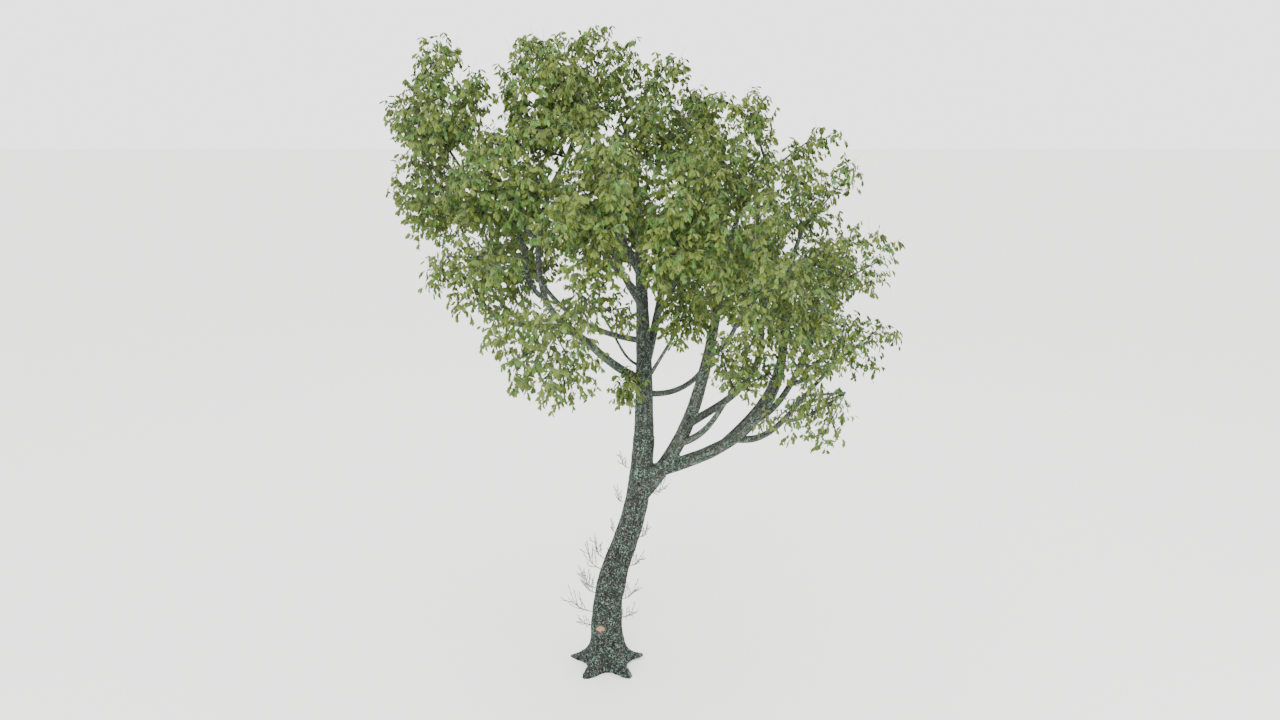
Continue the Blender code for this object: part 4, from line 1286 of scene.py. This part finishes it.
def arched(start, end, bend, first, last):
    """The short straight lengths of a twig that leaves along the way given by bend and ends at end."""
    shares = np.linspace(0, 1, SHOOT_STEPS + 1)[:, None]
    middle = start + bend
    path = (1 - shares) ** 2 * start + 2 * shares * (1 - shares) * middle + shares**2 * end
    sizes = np.linspace(first, last, SHOOT_STEPS + 1)
    return list(zip(path, path[1:], sizes, sizes[1:]))


def shoot_twigs(shoot, rng):
    """The short straight lengths of one shoot, which arches up from its foot and forks as it rises."""
    up = np.array([0.0, 0, 1])
    foot, way = curve_point(shoot.limb, shoot.share), direction(*shoot.start)
    length = shoot.reach - LIMBS[shoot.limb].thick / 2
    level = unit(way * SHOOT_LEVEL)
    aside = unit(np.cross(up, way))
    start = foot + level * (shoot.reach - length - SHOOT_ROOT)
    end = start + (foot + way * shoot.reach - start) * SHOOT_STEM
    stem = arched(start, end, level * length * SHOOT_BEND, SHOOT_FOOT_RADIUS, SHOOT_FORK_RADIUS)
    rows = list(stem)
    for fork, ahead in [piece[:2] for piece in stem[1:]] + [(stem[-1][1], end + way)]:
        along = unit(ahead - fork)
        for turn in SHOOT_TURNS:
            turn = math.radians(turn + rng.normal(0, SHOOT_SWING))
            turned = Vector(along)
            turned.rotate(Matrix.Rotation(-turn, 3, Vector(aside)))
            onward = unit(np.array(turned) + aside * rng.normal(0, SHOOT_SCATTER))
            reach = onward * length * rng.uniform(*SHOOT_SIDE_LENGTHS)
            rise = up * SHOOT_LIFT * np.linalg.norm(reach)
            bend = reach * SHOOT_BEND
            side = arched(fork, fork + reach + rise, bend, SHOOT_FORK_RADIUS, SHOOT_SIDE_RADIUS)
            rows += side
            for bud in (piece[1] for piece in side[:-1]):
                twiglet = unit(onward + rng.normal(0, TWIGLET_STRAY, 3) + up * SHOOT_LIFT) * length
                tip = bud + twiglet * rng.uniform(*TWIGLET_LENGTHS)
                rows.append((bud, tip, SHOOT_SIDE_RADIUS, SHOOT_TWIGLET_RADIUS))
    return rows


def build_shoots(finish):
    """The bare shoots on the trunk, all in one piece."""
    rows = []
    for number, shoot in enumerate(SHOOTS.values()):
        rows += shoot_twigs(shoot, np.random.default_rng(SHOOT_SEED + number))
    vertices, faces = tapering_twigs(rows, SHOOT_SIDES)
    piece = from_arrays("bare_shoots", vertices, faces, finish, "young bark")
    for name in list(SHOOTS)[:SOLID_SHOOTS]:
        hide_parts(name)


def build_scar(finish, rim_finish):
    """The oval face of an old pruning cut on the front of the trunk, inside a rolled rim of bark."""
    centre = curve_point("trunk", SCAR_SHARE)
    radius = limb_radius("trunk", SCAR_SHARE, 0) + root_flare(SCAR_HEADING, centre[2])
    way = direction(SCAR_HEADING, SCAR_SLOPE)
    place = centre + way * (radius - SCAR_SUNK)
    deselect()
    bpy.ops.mesh.primitive_circle_add(
        vertices=SCAR_SIDES, radius=SCAR_RADIUS, fill_type="NGON", location=place
    )
    obj = bpy.context.object
    level = Matrix.Rotation(math.radians(SCAR_ROLL), 4, Vector(way))
    facing = Vector(way).to_track_quat("Z", "Y").to_matrix().to_4x4()
    obj.rotation_euler = (level @ facing).to_euler()
    obj.scale = (*SCAR_OVAL, 1)
    bpy.ops.object.transform_apply(location=True, rotation=True, scale=True)
    obj.name = "pruning_scar"
    bpy.ops.object.mode_set(mode="EDIT")
    bpy.ops.mesh.select_all(action="SELECT")
    bpy.ops.mesh.extrude_region_move(TRANSFORM_OT_translate={"value": tuple(way * RIM_HEIGHT)})
    bpy.ops.mesh.inset(thickness=RIM_BREADTH)
    bpy.ops.mesh.inset(thickness=RIM_SLOPE)
    bpy.ops.mesh.extrude_region_move(TRANSFORM_OT_translate={"value": tuple(-way * SCAR_DEPTH)})
    turn_outward()
    obj.data.materials.append(rim_finish)
    obj.data.materials.append(finish)
    heart = max(obj.data.polygons, key=lambda face: face.area * (Vector(way).dot(face.normal) > 0.9))
    heart.material_index = 1
    bevel = obj.modifiers.new("soft edges", "BEVEL")
    bevel.width = RIM_ROUNDING
    bevel.segments = 3
    applied(obj, bevel)
    bpy.ops.object.shade_smooth_by_angle(angle=math.radians(50))
    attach(obj, "root")


def light_and_camera():
    """A bright overcast studio with three large lamps, and the camera where the photo's stood."""
    world = bpy.data.worlds.new("studio")
    world.use_nodes = True
    background = world.node_tree.nodes["Background"]
    background.inputs["Color"].default_value = (1, 1, 1, 1)
    background.inputs["Strength"].default_value = SKY_STRENGTH
    bpy.context.scene.world = world
    for name, (place, size, watts) in LAMPS.items():
        light = bpy.data.lights.new(name, "AREA")
        light.size = size
        light.energy = watts
        lamp = bpy.data.objects.new(name, light)
        lamp.location = place
        aim = Vector(LAMP_AIM) - Vector(place)
        lamp.rotation_euler = aim.to_track_quat("-Z", "Y").to_euler()
        bpy.context.scene.collection.objects.link(lamp)
    camera = bpy.data.cameras.new("camera")
    camera.lens = CAMERA_LENS
    camera.clip_end = CAMERA_REACH
    eye = bpy.data.objects.new("camera", camera)
    eye.location = CAMERA_PLACE
    eye.rotation_euler = (math.radians(90 - CAMERA_PITCH), 0, 0)
    bpy.context.scene.collection.objects.link(eye)
    bpy.context.scene.camera = eye


def lay_floor():
    deselect()
    bpy.ops.mesh.primitive_plane_add(size=FLOOR_SIZE, location=(0, 0, -FLOOR_DROP))
    floor = bpy.context.object
    floor.name = "floor"
    bpy.ops.object.transform_apply(location=True)
    material, shader = new_material("matt white paper", 0.9)
    shader.inputs["Base Color"].default_value = linear("#f4f4f2")
    floor.data.materials.append(material)


def build_tree():
    bark = oak_bark()
    bark_piece("trunk_bark", MAIN_LIMBS, MAIN_GRAIN, bark)
    others = [name for name in LIMBS if name not in MAIN_LIMBS]
    right = [name for name in others if LIMBS[name].tip[0] > 1]
    bark_piece("right_limb_bark", right, THIN_GRAIN, bark)
    bark_piece("left_limb_bark", [name for name in others if name not in right], THIN_GRAIN, bark)
    build_scar(cut_wood(), bark)
    build_shoots(twig_bark("bare shoot bark", "#3d3b36", "#5d5a54"))
    build_foliage(
        {
            "leaves_olive": oak_leaf("olive oak leaf", "#556323", "#65732e"),
            "leaves_moss": oak_leaf("moss green oak leaf", "#4e6026", "#5d6e32"),
            "leaves_fresh": oak_leaf("fresh oak leaf", "#586828", "#697a37"),
            "leaves_deep": oak_leaf("deep green oak leaf", "#455320", "#53622b"),
            "leaves_bright": oak_leaf("bright green oak leaf", "#486629", "#567635"),
            "leaves_blue_green": oak_leaf("blue-green oak leaf", "#435f2c", "#506d39"),
        },
        twig_bark("oak twig bark", "#62665f", "#868a83"),
        bark,
    )


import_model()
CAD_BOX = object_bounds()
light_and_camera()
lay_floor()
build_tree()
